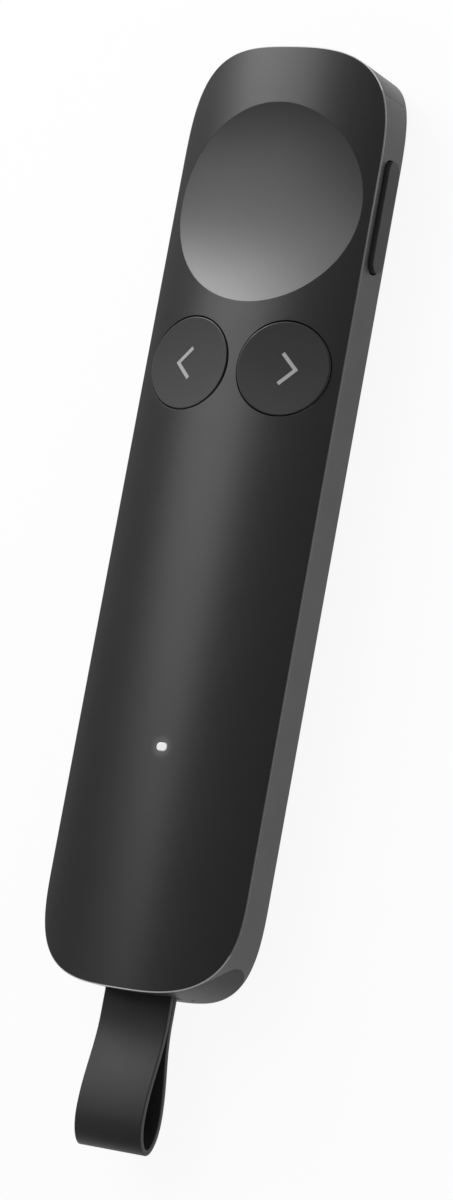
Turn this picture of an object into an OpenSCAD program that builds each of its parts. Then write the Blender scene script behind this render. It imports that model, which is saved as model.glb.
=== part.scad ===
// Wireless presentation clicker: a slim rounded bar with a scooped pointer key, two round
// keys, a key on its side, and a radio receiver with a strap that is stored in its tail.
// It lies on its back: +Z is the key side, +Y is the nose, the origin is the middle of the
// flat land on the back.

/* [Body] */
// Length of the body, without the strap
body_l = 125; // [122:0.5:132]
// Width across the straight sides
body_w = 29.8; // [29.6:0.1:32]
// Height of the straight side walls
wall_h = 5.6; // [5.5:0.1:7]
// Rise of the front face over the side walls
front_crown = 2.9; // [2.7:0.05:3.4]
// Rise of the back face over the side walls, before its land is cut flat
back_crown = 4.65; // [4.5:0.05:5.2]
// Width of the flat land that the body rests on
land_w = 12; // [8:0.5:14]
// Length of the curve that ends the nose
nose_curve = 16.8; // [15:0.1:18]
// Squareness of the nose, where 2 is an ellipse
nose_square = 3.45; // [3:0.05:4]
// Length of the curve that ends the tail
tail_curve = 14.5; // [13:0.1:16]
// Squareness of the tail, where 2 is an ellipse
tail_square = 3.05; // [2.8:0.05:3.6]

/* [Walls] */
// Thickness of the side band
frame_t = 1; // [0.9:0.05:1.1]
// Thickness of the covers where they lie on the side band
edge_t = 0.45; // [0.35:0.05:0.55]
// Thickness of the front cover inside the band
cover_t = 1; // [0.9:0.05:1.2]
// Thickness of the back cover inside the band
back_t = 1.1; // [1:0.05:1.3]
// Clearance between pieces that are fixed to each other
fit = 0.05; // [0.03:0.01:0.08]

/* [Pointer key] */
// Width of the front cover beside the pointer key
pointer_margin = 1.35; // [1.3:0.05:2.4]
// Distance of the pointer key's middle from the nose
pointer_from_nose = 21.2; // [21:0.1:23]
// Gap round the pointer key
pointer_gap = 0.08; // [0.06:0.01:0.12]
// Thickness of the pointer key's skin
pointer_skin = 1.3; // [1.1:0.05:1.4]
// Share of the front crown that stays across the bottom of the pointer key's scoop
scoop_crown = 0.3; // [0.2:0.05:0.4]
// Travel of each key
key_travel = 0.4; // [0.25:0.05:0.45]

/* [Round keys] */
// Width of the front cover beside the round keys
round_margin = 1.53; // [1.5:0.01:2]
// Width of the front cover between the round keys
key_bridge = 1.66; // [1.6:0.02:2.4]
// Distance of the round keys' middles from the nose
round_from_nose = 43.2; // [43:0.1:46]
// Gap round the back, next and side keys
key_gap = 0.13; // [0.1:0.01:0.16]
// How far the middle of a round key lies under the front face
round_sink = 0.25; // [0.1:0.05:0.4]
// Width of the flange that keeps a round key in
flange_w = 0.55; // [0.4:0.05:0.6]

/* [Side key] */
// Length of the side key
side_key_l = 15; // [12:0.5:16]
// Height of the side key
side_key_h = 2.75; // [2.4:0.05:3]
// How far the side key stands out of the wall
side_key_proud = 0.62; // [0.45:0.01:0.8]

/* [Status light] */
// Width of the status light
light_w = 1.6; // [1.2:0.1:2]
// Length of the status light along the body
light_l = 1.15; // [1:0.05:1.4]
// Distance of the status light from the tail
light_from_tail = 31.2; // [30:0.1:34]

/* [Nose window] */
// Depth of the nose window, back from the nose
window_d = 5.5; // [5:0.1:6.5]
// Width of the rim left between the window or receiver cap and the covers' outer faces
rim = 0.9; // [0.85:0.05:1.1]

/* [Receiver] */
// Distance of the receiver cap's round ends from the body's sides
cap_margin = 1.5; // [1.4:0.05:2.1]
// Height of the receiver's cap
cap_h = 10.6; // [10.2:0.1:10.8]
// Corner radius of the receiver's cap
cap_r = 5; // [4.5:0.1:5.1]
// How far the cap's middle lies under the middle of the side walls
cap_drop = 0.8; // [0.65:0.05:0.85]
// Depth of the cap, in from the tail
cap_d = 5.5; // [5.3:0.1:6]
// Wall of the receiver's cap
cap_wall = 1; // [0.8:0.05:1.2]
// Clearance round the receiver
slide_gap = 0.08; // [0.06:0.01:0.12]
// Width of the receiver's plug
plug_w = 12; // [11.9:0.05:12.1]
// Height of the receiver's plug
plug_h = 4.5; // [4.4:0.05:4.6]
// Length of the receiver's plug
plug_l = 13.4; // [12:0.1:14]
// Sheet thickness of the plug and the charging port
sheet_t = 0.3; // [0.25:0.05:0.35]
// Offset of the plug's middle from the centre line
plug_x = -4.85; // [-4.9:0.05:-4.8]
// Radius of the pinhole in the cap
pinhole_r = 0.25; // [0.2:0.05:0.4]
// Offset of the pinhole from the centre line
pinhole_x = 6.1; // [5.5:0.1:8]

/* [Strap] */
// Width of the strap
strap_w = 10; // [8:0.5:12]
// Thickness of the strap's band
strap_t = 0.8; // [0.7:0.05:0.9]
// Length of the strap's loop past the tail
strap_l = 20.1; // [17:0.1:30]
// Thickness of the open loop, outside
loop_h = 5; // [4:0.1:8]
// Height of the strap over the cap's middle
strap_rise = 0.4; // [0.35:0.05:0.5]
// Radius of the pin that holds the strap
pin_r = 0.6; // [0.5:0.05:0.65]
// Running clearance of the strap on its pin
pin_gap = 0.05; // [0.03:0.01:0.08]
// Greatest swing of the strap each way
strap_swing = 25; // [15:1:28]

/* [Board and battery] */
// Thickness of the main board
board_t = 0.8; // [0.6:0.1:1]
// Depth of the main board's upper face under the side walls' upper edges
board_drop = 1.95; // [1.9:0.05:2]
// Gap between the main board's edge and the outside of the body
board_inset = 2.7; // [2.6:0.1:3.2]
// Distance of the main board from the tail
board_from_tail = 24.5; // [24:0.5:26]
// Battery width
battery_w = 19; // [16:0.5:19.5]
// Battery length
battery_l = 42; // [34:1:43]
// Battery thickness
battery_t = 3.5; // [3:0.1:3.6]
// Distance of the battery from the main board's tail end
battery_start = 5; // [4:0.5:7]
// Radius of the board screws' shanks
screw_r = 0.6; // [0.5:0.05:0.7]

/* [Hidden] */
$fn = 96;

// A length that reaches past the body on every side
far = 200;
// Height past the front face
over = 25;
end_steps = 44;
half_l = body_l / 2;
half_w = body_w / 2;

// Radius of an arc from its sagitta over a chord
function arc_r(half_chord, sagitta) = (half_chord * half_chord + sagitta * sagitta) / (2 * sagitta);
// Drop of a circle of radius r from its crest, at distance x
function drop(r, x) = r - sqrt(r * r - x * x);

front_r = arc_r(half_w, front_crown);
back_r = arc_r(half_w, back_crown);
land_cut = drop(back_r, land_w / 2);
wall_z0 = back_crown - land_cut;
wall_z1 = wall_z0 + wall_h;
top_z = wall_z1 + front_crown;
side_z = (wall_z0 + wall_z1) / 2;

// Height of the front face over the land, at distance x from the centre line
function front_z(x) = top_z - drop(front_r, x);
// Height of the back face over the land, drawn in by a depth, at distance x
function back_z(x, depth) = max(depth, depth - land_cut + drop(back_r - depth, x));

// A body end: half of a superellipse, counter-clockwise from the right side
function end_arc(curve, square, sense) = [
    for (i = [0 : end_steps])
        let (t = 180 * i / end_steps, c = cos(t), s = sin(t))
        [sense * half_w * sign(c) * pow(abs(c), 2 / square),
         sense * (half_l - curve + curve * pow(abs(s), 2 / square))]
];
outline = concat(end_arc(nose_curve, nose_square, 1), end_arc(tail_curve, tail_square, -1));

// Inner face of the band, with the clearance of what fits in it
inner = frame_t + fit;
// Lip of the nose window that lies behind the band
lip_t = 0.6;
window_y = half_l - window_d;

// Keys
pointer_r = half_w - pointer_margin;
pointer_y = half_l - pointer_from_nose;
// The scoop is a saddle: round along the body, and round the other way across it
trough_r = front_r / (1 - scoop_crown);
saddle_r = front_r / scoop_crown;
scoop_floor = top_z - (1 - scoop_crown) * drop(front_r, pointer_r);
saddle_span = 18;
tab_w = 6;
tab_reach = 0.9;
round_r = (half_w - round_margin - key_bridge / 2) / 2;
round_x = key_bridge / 2 + round_r;
round_y = half_l - round_from_nose;
round_tilt = asin(round_x / front_r);
round_wall = 0.8;
round_skin = 1;
catch_t = 0.6;
catch_gap = 0.1;
side_flange = 1.2;
side_key_wall = 0.7;

// Status light
light_y = light_from_tail - half_l;
light_r = 0.45;
light_flange = 0.7;
light_seat = 0.6;

// Main board, its switches and screws
board_z = wall_z1 - board_drop;
board_z0 = board_z - board_t;
board_tail_y = board_from_tail - half_l;
switch_w = 3.6;
switch_h = 0.5;
plunger_r = 1;
plunger_h = 0.25;
stem_r = 1.5;
stem_z = board_z + switch_h + plunger_h + key_travel + fit;
key_floor = stem_z + 0.2;
side_switch_x = half_w - 2.9;
side_switch_t = 3.5;
side_switch_w = 4.6;
side_switch_h = 1.9;
side_switch_z = board_z0 - side_switch_h / 2;
boss_r = 1.6;
screw_l = 2.2;
screw_head_r = 1.2;
screw_head_h = 0.7;
screw_hex_r = 0.5;
screws = [for (s = [-1, 1], p = [
    [half_w - 5.4, board_tail_y + 2.2], [half_w - 4, round_y - 8.4], [half_w - 6.4, half_l - 5.9]])
    [s * p[0], p[1]]];

// Radio, with its shield's holes, and the other chips
radio_y = board_tail_y + 26;
shield_size = [13, 12, 1.3];
shield_t = 0.2;
shield_hole_r = 0.4;
shield_pitch = 2;
processor_size = [5, 5, 0.8];
sensor_size = [2.5, 3, 0.8];
sensor_offset = [4, 14];
antenna_size = [7, 2, 1];
antenna_y = half_l - board_inset - 1.8;
led_size = [1.6, 0.8, 0.5];

// Battery, its tray, and the motor that buzzes
battery_gap = 0.1;
tray_wall = 1;
tray_floor = 0.2;
tray_h = 3.45;
tray_slot_w = 8;
tray_slot_z = 1;
battery_y = board_tail_y + battery_start + battery_l / 2;
battery_z = back_z(battery_w / 2 + battery_gap, back_t + fit) + tray_floor;
pad_margin = [2, 3];
flex_t = 0.2;
flex_w = 5;
flex_l = 5;
motor_r = 4;
motor_h = 3;
motor_x = -4.5;
motor_y = pointer_y - 4;

// Receiver
cap_w = body_w - 2 * cap_margin;
cap_z = side_z - cap_drop;
cap_y = cap_d - half_l;
cap_seat = 15.5;
strap_z = cap_z + strap_rise;
pin_y = 1.5 - half_l;
plug_root = cap_y - cap_wall;
plug_tip = cap_y + plug_l;
plug_hole = 2.4;
plug_hole_x = 2.9;
plug_hole_y = plug_tip - 5.5;
contact_w = 1;
contact_x = [-3.5, -1, 1, 3.5];
contact_t = 0.15;
contact_y = plug_tip - 1.2;
contact_l = 7.3;
pinhole_z = wall_z0 - 0.4;

// Strap in its pocket
mouth_gap = 0.12;
side_gap = 0.2;
pocket_r = 1.5;
pocket_wall = 0.6;
root_r = pocket_r - 0.15;
pin_hold = 1.4;
pin_l = strap_w + 2 * side_gap + 2 * pin_hold;
neck_l = 3.2;
bulge_l = 4.6;
belly = strap_l - bulge_l;

// Receiver bay and charging port
bulkhead_t = 1;
bulkhead_y = cap_y + 0.3;
sleeve_t = 0.5;
sleeve_gap = 0.2;
port_w = 8.94;
port_h = 3.26;
port_d = 7.35;
port_gap = 0.1;
port_wall = 0.4;
port_x = plug_x + plug_w / 2 + sleeve_gap + sleeve_t + 3 * port_gap + port_w / 2;
port_z = strap_z;
port_y = bulkhead_y + port_gap;
tongue_w = 6.6;
tongue_t = 0.7;
tongue_y = port_y + 0.5;
port_board_t = 0.8;
port_board_z = port_z - port_h / 2 - port_board_t - fit;
port_board_y = bulkhead_y + bulkhead_t + fit;
port_board_l = 11.75;
port_flex_w = 4;

// ---- shapes shared by several pieces ----

module plan(inset = 0) {
    if (inset == 0) polygon(outline);
    else offset(delta = -inset) polygon(outline);
}

module prism(inset, z0 = -over, z1 = over) translate([0, 0, z0]) linear_extrude(z1 - z0) plan(inset);

// Everything under the front face, less a depth
module under_front(depth) translate([0, 0, top_z - front_r]) rotate([90, 0, 0])
    cylinder(r = front_r - depth, h = far, center = true, $fn = 240);

// Everything over the back face, less a depth
module over_back(depth) intersection() {
    translate([0, 0, back_r - land_cut]) rotate([90, 0, 0])
        cylinder(r = back_r - depth, h = far, center = true, $fn = 240);
    translate([-far / 2, -far / 2, depth]) cube([far, far, far]);
}

// The body's outer form, drawn in from its sides, front and back
module envelope(side, front, back) intersection() {
    prism(side);
    under_front(front);
    over_back(back);
}

// A box from its lowest and highest corners
module block(low, high) translate(low) cube(high - low);

module stadium(w, h) hull() for (s = [-1, 1]) translate([s * (w - h) / 2, 0]) circle(d = h, $fn = 40);

module rounded(w, h, r) hull()
    for (x = [-1, 1], y = [-1, 1]) translate([x * (w / 2 - r), y * (h / 2 - r)]) circle(r = r, $fn = 40);

// Turns a flat shape drawn in X and Z to run along Y
module along_y(y0, y1) translate([0, y1, 0]) rotate([90, 0, 0]) linear_extrude(y1 - y0) children();

// Turns a flat shape drawn in Y and Z to run along X
module along_x(x0, x1) translate([x0, 0, 0]) rotate([90, 0, 90]) linear_extrude(x1 - x0) children();

// ---- housing ----

module key_holes() {
    translate([0, pointer_y, 0]) cylinder(r = pointer_r + pointer_gap, h = far);
    for (s = [-1, 1]) translate([s * round_x, round_y, 0]) cylinder(r = round_r + key_gap, h = far);
    translate([0, light_y, 0]) linear_extrude(far)
        rounded(light_w + 2 * fit, light_l + 2 * fit, light_r + fit);
}

module front_cover() color("#2f3032") difference() {
    union() {
        difference() {
            envelope(0, 0, 0);
            under_front(edge_t);
        }
        difference() {
            envelope(inner, 0, 0);
            under_front(cover_t);
        }
        intersection() {
            under_front(edge_t / 2);
            for (p = screws) translate([p[0], p[1], board_z + fit]) cylinder(r = boss_r, h = far);
        }
    }
    key_holes();
    cap_room();
    for (p = screws) translate([p[0], p[1], 0])
        cylinder(r = screw_r, h = front_z(p[0]) - cover_t - fit);
}

module window_cut(grow) intersection() {
    block([-far, window_y - grow, -over], [far, far, over]);
    under_front(rim - grow);
    over_back(rim - grow);
}

module cap_outline(inset) translate([0, cap_z])
    rounded(cap_w - 2 * inset, cap_h - 2 * inset, cap_r - inset);

module cap_cut(inset) intersection() {
    along_y(-far, cap_seat - half_l) cap_outline(inset);
    under_front(rim + inset);
    over_back(rim + inset);
}

// Room for the receiver's cap between the covers
module cap_room() intersection() {
    cap_cut(-slide_gap);
    block([-far, -far, -over], [far, cap_y + slide_gap, over]);
}

module mid_frame() color("#5e5f61") difference() {
    envelope(0, edge_t + fit, edge_t + fit);
    prism(frame_t);
    along_x(0, far) translate([pointer_y, side_z])
        stadium(side_key_l + 2 * key_gap, side_key_h + 2 * key_gap);
    window_cut(fit);
    cap_cut(-slide_gap);
}

module back_cover() color("#3a3b3d") difference() {
    union() {
        difference() {
            envelope(0, 0, 0);
            over_back(edge_t);
        }
        difference() {
            envelope(inner, 0, edge_t / 2);
            over_back(back_t);
        }
    }
    cap_room();
}

// The window's skin, with a body behind it that reaches under the band as a lip
module nose_window() color("#4b4c4e") {
    intersection() {
        difference() {
            envelope(0, 0, 0);
            prism(inner);
        }
        window_cut(0);
    }
    for (b = [[inner, lip_t], [inner / 2, 0]]) intersection() {
        difference() {
            envelope(b[0], cover_t + 2 * fit, back_t + 2 * fit);
            prism(inner + lip_t);
        }
        block([-far, window_y - b[1], -over], [far, far, over]);
    }
}

module led_lens() color("white") intersection() {
    under_front(0);
    translate([0, light_y, 0]) {
        translate([0, 0, board_z + light_seat]) linear_extrude(far) rounded(light_w, light_l, light_r);
        translate([0, 0, top_z - cover_t - fit - light_flange]) linear_extrude(light_flange)
            rounded(light_w + 2 * light_flange, light_l + 2 * light_flange, light_r);
    }
}

// ---- keys ----

// What scoops the pointer key: a ring round an axis under the body, whose inner side is the saddle.
// It meets the crown all round the key's edge.
module scoop(depth) translate([0, pointer_y, scoop_floor - saddle_r])
    rotate([90, 0, 0]) rotate([0, 0, 90 - saddle_span / 2])
        rotate_extrude(angle = saddle_span, $fn = 360)
            translate([saddle_r + trough_r, 0]) circle(r = trough_r + depth, $fn = 240);

module pointer_key() color("#3a3b3d") {
    difference() {
        intersection() {
            translate([0, pointer_y, key_floor]) cylinder(r = pointer_r, h = far);
            under_front(0);
        }
        scoop(0);
        difference() {
            intersection() {
                translate([0, pointer_y, 0]) cylinder(r = pointer_r - pointer_skin, h = far);
                under_front(pointer_skin);
            }
            scoop(pointer_skin);
        }
    }
    translate([0, pointer_y, stem_z])
        cylinder(r = stem_r, h = scoop_floor - pointer_skin / 2 - stem_z);
    for (s = [-1, 1]) intersection() {
        block([-tab_w / 2, pointer_y + s * pointer_r - tab_reach, key_floor],
              [tab_w / 2, pointer_y + s * pointer_r + tab_reach, over]);
        key_catch();
    }
}

// The layer under the front cover in which the keys are caught
module key_catch() difference() {
    under_front(cover_t + catch_gap);
    under_front(cover_t + catch_gap + catch_t);
}

// Everything over a round key's flat face, less a depth
module over_round_key(side, depth)
    translate([side * round_x, round_y, front_z(round_x) - round_sink - depth])
        rotate([0, side * round_tilt, 0]) block([-half_w, -half_w, 0], [half_w, half_w, over]);

module round_key(side) {
    x = side * round_x;
    catch_x = half_w - inner - fit;
    difference() {
        union() {
            difference() {
                translate([x, round_y, key_floor]) cylinder(r = round_r, h = top_z - key_floor + 1);
                over_round_key(side, 0);
            }
            intersection() {
                translate([x, round_y, 0]) cylinder(r = round_r + flange_w, h = top_z);
                block([-catch_x, -far, 0], [catch_x, far, far]);
                key_catch();
            }
        }
        difference() {
            translate([x, round_y, 0]) cylinder(r = round_r - round_wall, h = top_z);
            over_round_key(side, round_skin);
            translate([x, round_y, stem_z]) cylinder(r = stem_r, h = top_z);
        }
    }
    translate([x, round_y, stem_z]) cylinder(r = stem_r, h = key_floor - stem_z + 1);
}

module back_key() color("#333436") round_key(-1);

module next_key() color("#333436") round_key(1);

module side_key() color("#424345") {
    seat = half_w - frame_t - key_gap;
    along_x(seat - fit, half_w + side_key_proud) translate([pointer_y, side_z])
        stadium(side_key_l, side_key_h);
    along_x(seat - side_key_wall, seat) translate([pointer_y, side_z])
        stadium(side_key_l + 2 * side_flange, side_key_h);
    along_x(side_switch_x + key_travel + fit, seat - side_key_wall + fit)
        translate([pointer_y, side_switch_z]) square([2 * stem_r, plunger_r], center = true);
}

// ---- board and what it carries ----

module main_board() color("#1d5a3c") difference() {
    intersection() {
        prism(board_inset, board_z0, board_z);
        block([-far, board_tail_y, 0], [far, far, over]);
    }
    for (p = screws) translate([p[0], p[1], 0]) cylinder(r = screw_r + 2 * fit, h = far);
}

module board_screws() color("silver") for (p = screws) translate([p[0], p[1], board_z0]) {
    translate([0, 0, -screw_head_h]) difference() {
        cylinder(r = screw_head_r, h = screw_head_h);
        translate([0, 0, -screw_head_h / 2]) cylinder(r = screw_hex_r, h = screw_head_h, $fn = 6);
    }
    cylinder(r = screw_r - fit / 2, h = screw_l);
}

module tact_switch() {
    translate([-switch_w / 2, -switch_w / 2, board_z]) cube([switch_w, switch_w, switch_h]);
    translate([0, 0, board_z + switch_h]) cylinder(r = plunger_r, h = plunger_h);
}

module pointer_switch() color("#c9c4b0") translate([0, pointer_y, 0]) tact_switch();

module back_switch() color("#c9c4b0") translate([-round_x, round_y, 0]) tact_switch();

module next_switch() color("#c9c4b0") translate([round_x, round_y, 0]) tact_switch();

module side_switch() color("#c9c4b0") {
    face = side_switch_x - plunger_h;
    block([face - side_switch_t, pointer_y - side_switch_w / 2, board_z0 - side_switch_h],
          [face, pointer_y + side_switch_w / 2, board_z0]);
    block([face - fit, pointer_y - plunger_r, side_switch_z - plunger_r / 2],
          [side_switch_x, pointer_y + plunger_r, side_switch_z + plunger_r / 2]);
}

// A block on the board from its size, with its middle at x and y
module chip(x, y, size) translate([x - size[0] / 2, y - size[1] / 2, board_z]) cube(size);

module status_led() color("white") chip(0, light_y, led_size);

module radio_shield() color("silver") difference() {
    chip(0, radio_y, shield_size);
    translate([0, 0, -shield_t]) chip(0, radio_y, shield_size - [2 * shield_t, 2 * shield_t, 0]);
    for (x = [-2 : 2], y = [-2 : 2]) translate([x * shield_pitch, radio_y + y * shield_pitch, board_z])
        translate([0, 0, shield_size[2] / 2]) cylinder(r = shield_hole_r, h = shield_size[2]);
}

module processor_chip() color("#202020") chip(0, radio_y, processor_size);

module motion_sensor() color("#202020")
    chip(sensor_offset[0], radio_y + sensor_offset[1], sensor_size);

module antenna() color("#d8d5cc") chip(0, antenna_y, antenna_size);

// The battery's box, drawn out by a gap
module battery_box(gap) block(
    [-battery_w / 2 - gap, battery_y - battery_l / 2 - gap, battery_z - gap],
    [battery_w / 2 + gap, battery_y + battery_l / 2 + gap, battery_z + battery_t + gap]);

module battery() color("#b9bcc0") battery_box(0);

module battery_tray() color("#26272a") intersection() {
    envelope(inner + fit, cover_t + fit, back_t + fit);
    difference() {
        end = battery_l / 2 + battery_gap + tray_wall;
        block([-half_w, battery_y - end, 0], [half_w, battery_y + end, back_t + tray_h]);
        battery_box(battery_gap);
        block([-tray_slot_w / 2, battery_y, battery_z + tray_slot_z], [tray_slot_w / 2, far, over]);
    }
}

module battery_pad() color("#5b5b5b") block(
    [pad_margin[0] - battery_w / 2, battery_y - battery_l / 2 + pad_margin[1], battery_z + battery_t],
    [battery_w / 2 - pad_margin[0], battery_y + battery_l / 2 - pad_margin[1], board_z0]);

module battery_flex() color("#c77b30") {
    y = battery_y + battery_l / 2;
    block([-flex_w / 2, y, battery_z + tray_slot_z + flex_t], [flex_w / 2, y + flex_t, board_z0]);
    block([-flex_w / 2, y, board_z0 - flex_t], [flex_w / 2, y + flex_l, board_z0]);
}

module haptic_motor() color("silver") translate([motor_x, motor_y, board_z0 - motor_h])
    cylinder(r = motor_r, h = motor_h);

// ---- receiver bay and charging port, in the body's tail ----

// A plug's sleeve or its bore, from the plug's section drawn out by a wall
module plug_section(grow) translate([plug_x, strap_z])
    square([plug_w + 2 * grow, plug_h + 2 * grow], center = true);

module port_section(grow) translate([port_x, port_z]) stadium(port_w + 2 * grow, port_h + 2 * grow);

module receiver_bay() color("#2b2c2f") difference() {
    intersection() {
        union() {
            block([-far, bulkhead_y, 0], [far, bulkhead_y + bulkhead_t, over]);
            along_y(bulkhead_y + fit, plug_tip + sleeve_gap + sleeve_t)
                plug_section(sleeve_gap + sleeve_t);
            block([port_x - port_w / 2, bulkhead_y + fit, port_board_z - tray_wall],
                  [port_x + port_w / 2, port_board_y + port_board_l + fit, port_board_z]);
        }
        envelope(inner, cover_t + fit, back_t + fit);
    }
    along_y(-far, plug_tip + sleeve_gap) plug_section(sleeve_gap);
    along_y(-far, bulkhead_y + bulkhead_t + port_gap) port_section(port_gap);
}

module charge_port() color("silver") difference() {
    along_y(port_y, port_y + port_d) port_section(0);
    along_y(-far, port_y + port_d - port_wall) port_section(-sheet_t);
}

module charge_port_tongue() color("#202020") block(
    [port_x - tongue_w / 2, tongue_y, port_z - tongue_t / 2],
    [port_x + tongue_w / 2, port_y + port_d - port_wall, port_z + tongue_t / 2]);

module port_board() color("#1d5a3c") block(
    [port_x - port_w / 2 + port_gap, port_board_y, port_board_z],
    [port_x + port_w / 2 - port_gap, port_board_y + port_board_l, port_board_z + port_board_t]);

// The flat cable from the port's board up to the main board's lower face
module port_flex() color("#c77b30") {
    low = [port_board_y + port_board_l - 2.55, port_board_z + port_board_t];
    high = [board_tail_y + 0.9, board_z0];
    along_x(port_x - port_flex_w / 2, port_x + port_flex_w / 2) polygon([
        low, low + [3, 0], high - [1.5, flex_t], high - [0, flex_t],
        high, high - [1.6, 0], low + [2.9, flex_t], low + [0, flex_t]]);
}

// ---- receiver, which slides out of the tail ----

// The flared mouth that lets the strap swing
module strap_mouth() {
    reach = 4;
    near = strap_t + mouth_gap;
    flare = near + reach * tan(strap_swing);
    along_x(-strap_w / 2 - side_gap, strap_w / 2 + side_gap) polygon([
        [pin_y, strap_z - near], [pin_y, strap_z + near],
        [pin_y - reach, strap_z + flare], [pin_y - reach, strap_z - flare]]);
}

module receiver_cap() color("#47484a") difference() {
    intersection() {
        envelope(0, 0, 0);
        cap_cut(0);
        union() {
            difference() {
                block([-far, -far, -over], [far, cap_y, over]);
                intersection() {
                    envelope(cap_wall, 0, 0);
                    cap_cut(cap_wall);
                }
            }
            // The block round the pocket, which holds the pin's ends
            holder = pocket_r + pocket_wall;
            block([-pin_l / 2 - pocket_wall, -far, strap_z - holder],
                  [pin_l / 2 + pocket_wall, pin_y + holder, strap_z + holder]);
        }
    }
    translate([0, pin_y, strap_z]) rotate([0, 90, 0]) {
        cylinder(r = pocket_r, h = strap_w + 2 * side_gap, center = true);
        cylinder(r = pin_r, h = pin_l, center = true);
    }
    strap_mouth();
    translate([pinhole_x, 0, pinhole_z]) rotate([90, 0, 0]) cylinder(r = pinhole_r, h = far);
}

module receiver_base() color("#2b2c2f") difference() {
    intersection() {
        along_y(plug_root, cap_y) cap_outline(cap_wall + fit);
        envelope(cap_wall + fit, rim + cap_wall + fit, rim + cap_wall + fit);
    }
    along_y(-far, far) plug_section(fit / 2);
}

module usb_plug() color("silver") difference() {
    along_y(plug_root, plug_tip) plug_section(0);
    along_y(plug_root - 1, plug_tip + 1) plug_section(-sheet_t);
    for (x = [-1, 1], z = [0, 1])
        translate([plug_x + x * plug_hole_x, plug_hole_y, strap_z - (1 - z) * far])
            linear_extrude(far) square([plug_hole, plug_hole], center = true);
}

module receiver_board() color("#1c1d20") {
    half = plug_w / 2 - sheet_t - fit;
    block([plug_x - half, plug_root, strap_z + fit],
          [plug_x + half, plug_tip - 0.5, strap_z + plug_h / 2 - sheet_t - fit / 2]);
}

module usb_contacts() color("gold") for (x = contact_x) block(
    [plug_x + x - contact_w / 2, contact_y - contact_l, strap_z + fit - contact_t],
    [plug_x + x + contact_w / 2, contact_y, strap_z + fit]);

module strap_pin() color("silver") translate([0, pin_y, strap_z]) rotate([0, 90, 0])
    cylinder(r = pin_r - fit / 5, h = pin_l - 2 * fit, center = true);

// ---- strap ----

// The loop is a neck that opens in a smooth curve and closes in half an ellipse
function loop_half(s) = s < neck_l ? strap_t
    : s < belly ? strap_t + (loop_h / 2 - strap_t) * (1 - cos(180 * (s - neck_l) / (belly - neck_l))) / 2
    : loop_h / 2 * sqrt(max(0, 1 - pow((s - belly) / bulge_l, 2)));
loop_s = concat([-half_l - pin_y], [for (i = [0 : 16]) neck_l + (belly - neck_l) * i / 16],
    [for (i = [1 : 17]) belly + bulge_l * sin(90 * i / 18)]);
loop_points = concat(
    [for (s = loop_s) [-half_l - s, strap_z + loop_half(s)]],
    [[-half_l - strap_l, strap_z]],
    [for (i = [len(loop_s) - 1 : -1 : 0]) [-half_l - loop_s[i], strap_z - loop_half(loop_s[i])]]);

module strap_loop() color("#303133") along_x(-strap_w / 2, strap_w / 2) difference() {
    union() {
        polygon(loop_points);
        translate([pin_y, strap_z]) circle(r = root_r);
    }
    translate([pin_y, strap_z]) circle(r = pin_r + pin_gap);
    intersection() {
        offset(delta = -strap_t) polygon(loop_points);
        translate([-half_l - far - neck_l - 2 * strap_t, -far]) square([far, 2 * far]);
    }
}

front_cover();
mid_frame();
back_cover();
nose_window();
pointer_key();
back_key();
next_key();
side_key();
led_lens();
main_board();
board_screws();
pointer_switch();
back_switch();
next_switch();
side_switch();
status_led();
radio_shield();
processor_chip();
motion_sensor();
antenna();
battery();
battery_tray();
battery_pad();
battery_flex();
haptic_motor();
receiver_bay();
charge_port();
charge_port_tongue();
port_board();
port_flex();
receiver_cap();
receiver_base();
usb_plug();
receiver_board();
usb_contacts();
strap_pin();
strap_loop();
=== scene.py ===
"""Looks of a wireless presentation clicker, built round its packed frame."""

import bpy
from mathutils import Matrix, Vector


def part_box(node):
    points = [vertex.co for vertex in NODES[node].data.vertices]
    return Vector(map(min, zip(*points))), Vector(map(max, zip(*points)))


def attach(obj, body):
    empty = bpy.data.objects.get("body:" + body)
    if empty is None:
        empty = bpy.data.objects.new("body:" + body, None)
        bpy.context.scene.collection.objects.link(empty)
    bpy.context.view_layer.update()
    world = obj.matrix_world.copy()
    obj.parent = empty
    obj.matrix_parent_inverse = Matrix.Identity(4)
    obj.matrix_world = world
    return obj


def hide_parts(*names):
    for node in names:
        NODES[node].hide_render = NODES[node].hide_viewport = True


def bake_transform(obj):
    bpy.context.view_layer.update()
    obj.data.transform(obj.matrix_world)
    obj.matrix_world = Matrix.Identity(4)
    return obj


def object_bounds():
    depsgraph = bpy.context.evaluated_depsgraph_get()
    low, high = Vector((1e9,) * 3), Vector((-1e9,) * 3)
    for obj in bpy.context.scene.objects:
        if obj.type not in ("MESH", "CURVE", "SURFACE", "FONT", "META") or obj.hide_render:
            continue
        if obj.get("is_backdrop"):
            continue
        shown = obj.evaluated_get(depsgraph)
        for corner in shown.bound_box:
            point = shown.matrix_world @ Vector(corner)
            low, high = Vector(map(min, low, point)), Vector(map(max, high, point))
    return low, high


bl_info = {
    "name": "Presentation clicker looks",
    "version": (1, 0, 0),
    "blender": (4, 5, 0),
    "location": "3D View > Sidebar > Clicker",
    "description": "Models the clicker's covers, band, keys, strap and receiver round their frame",
    "category": "Object",
}

from math import cos, pi, radians, sin, sqrt, tan

import bmesh
import bpy
import numpy as np
from bpy.props import FloatProperty, FloatVectorProperty, PointerProperty
from mathutils import Matrix, Vector
from mathutils.geometry import delaunay_2d_cdt

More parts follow.
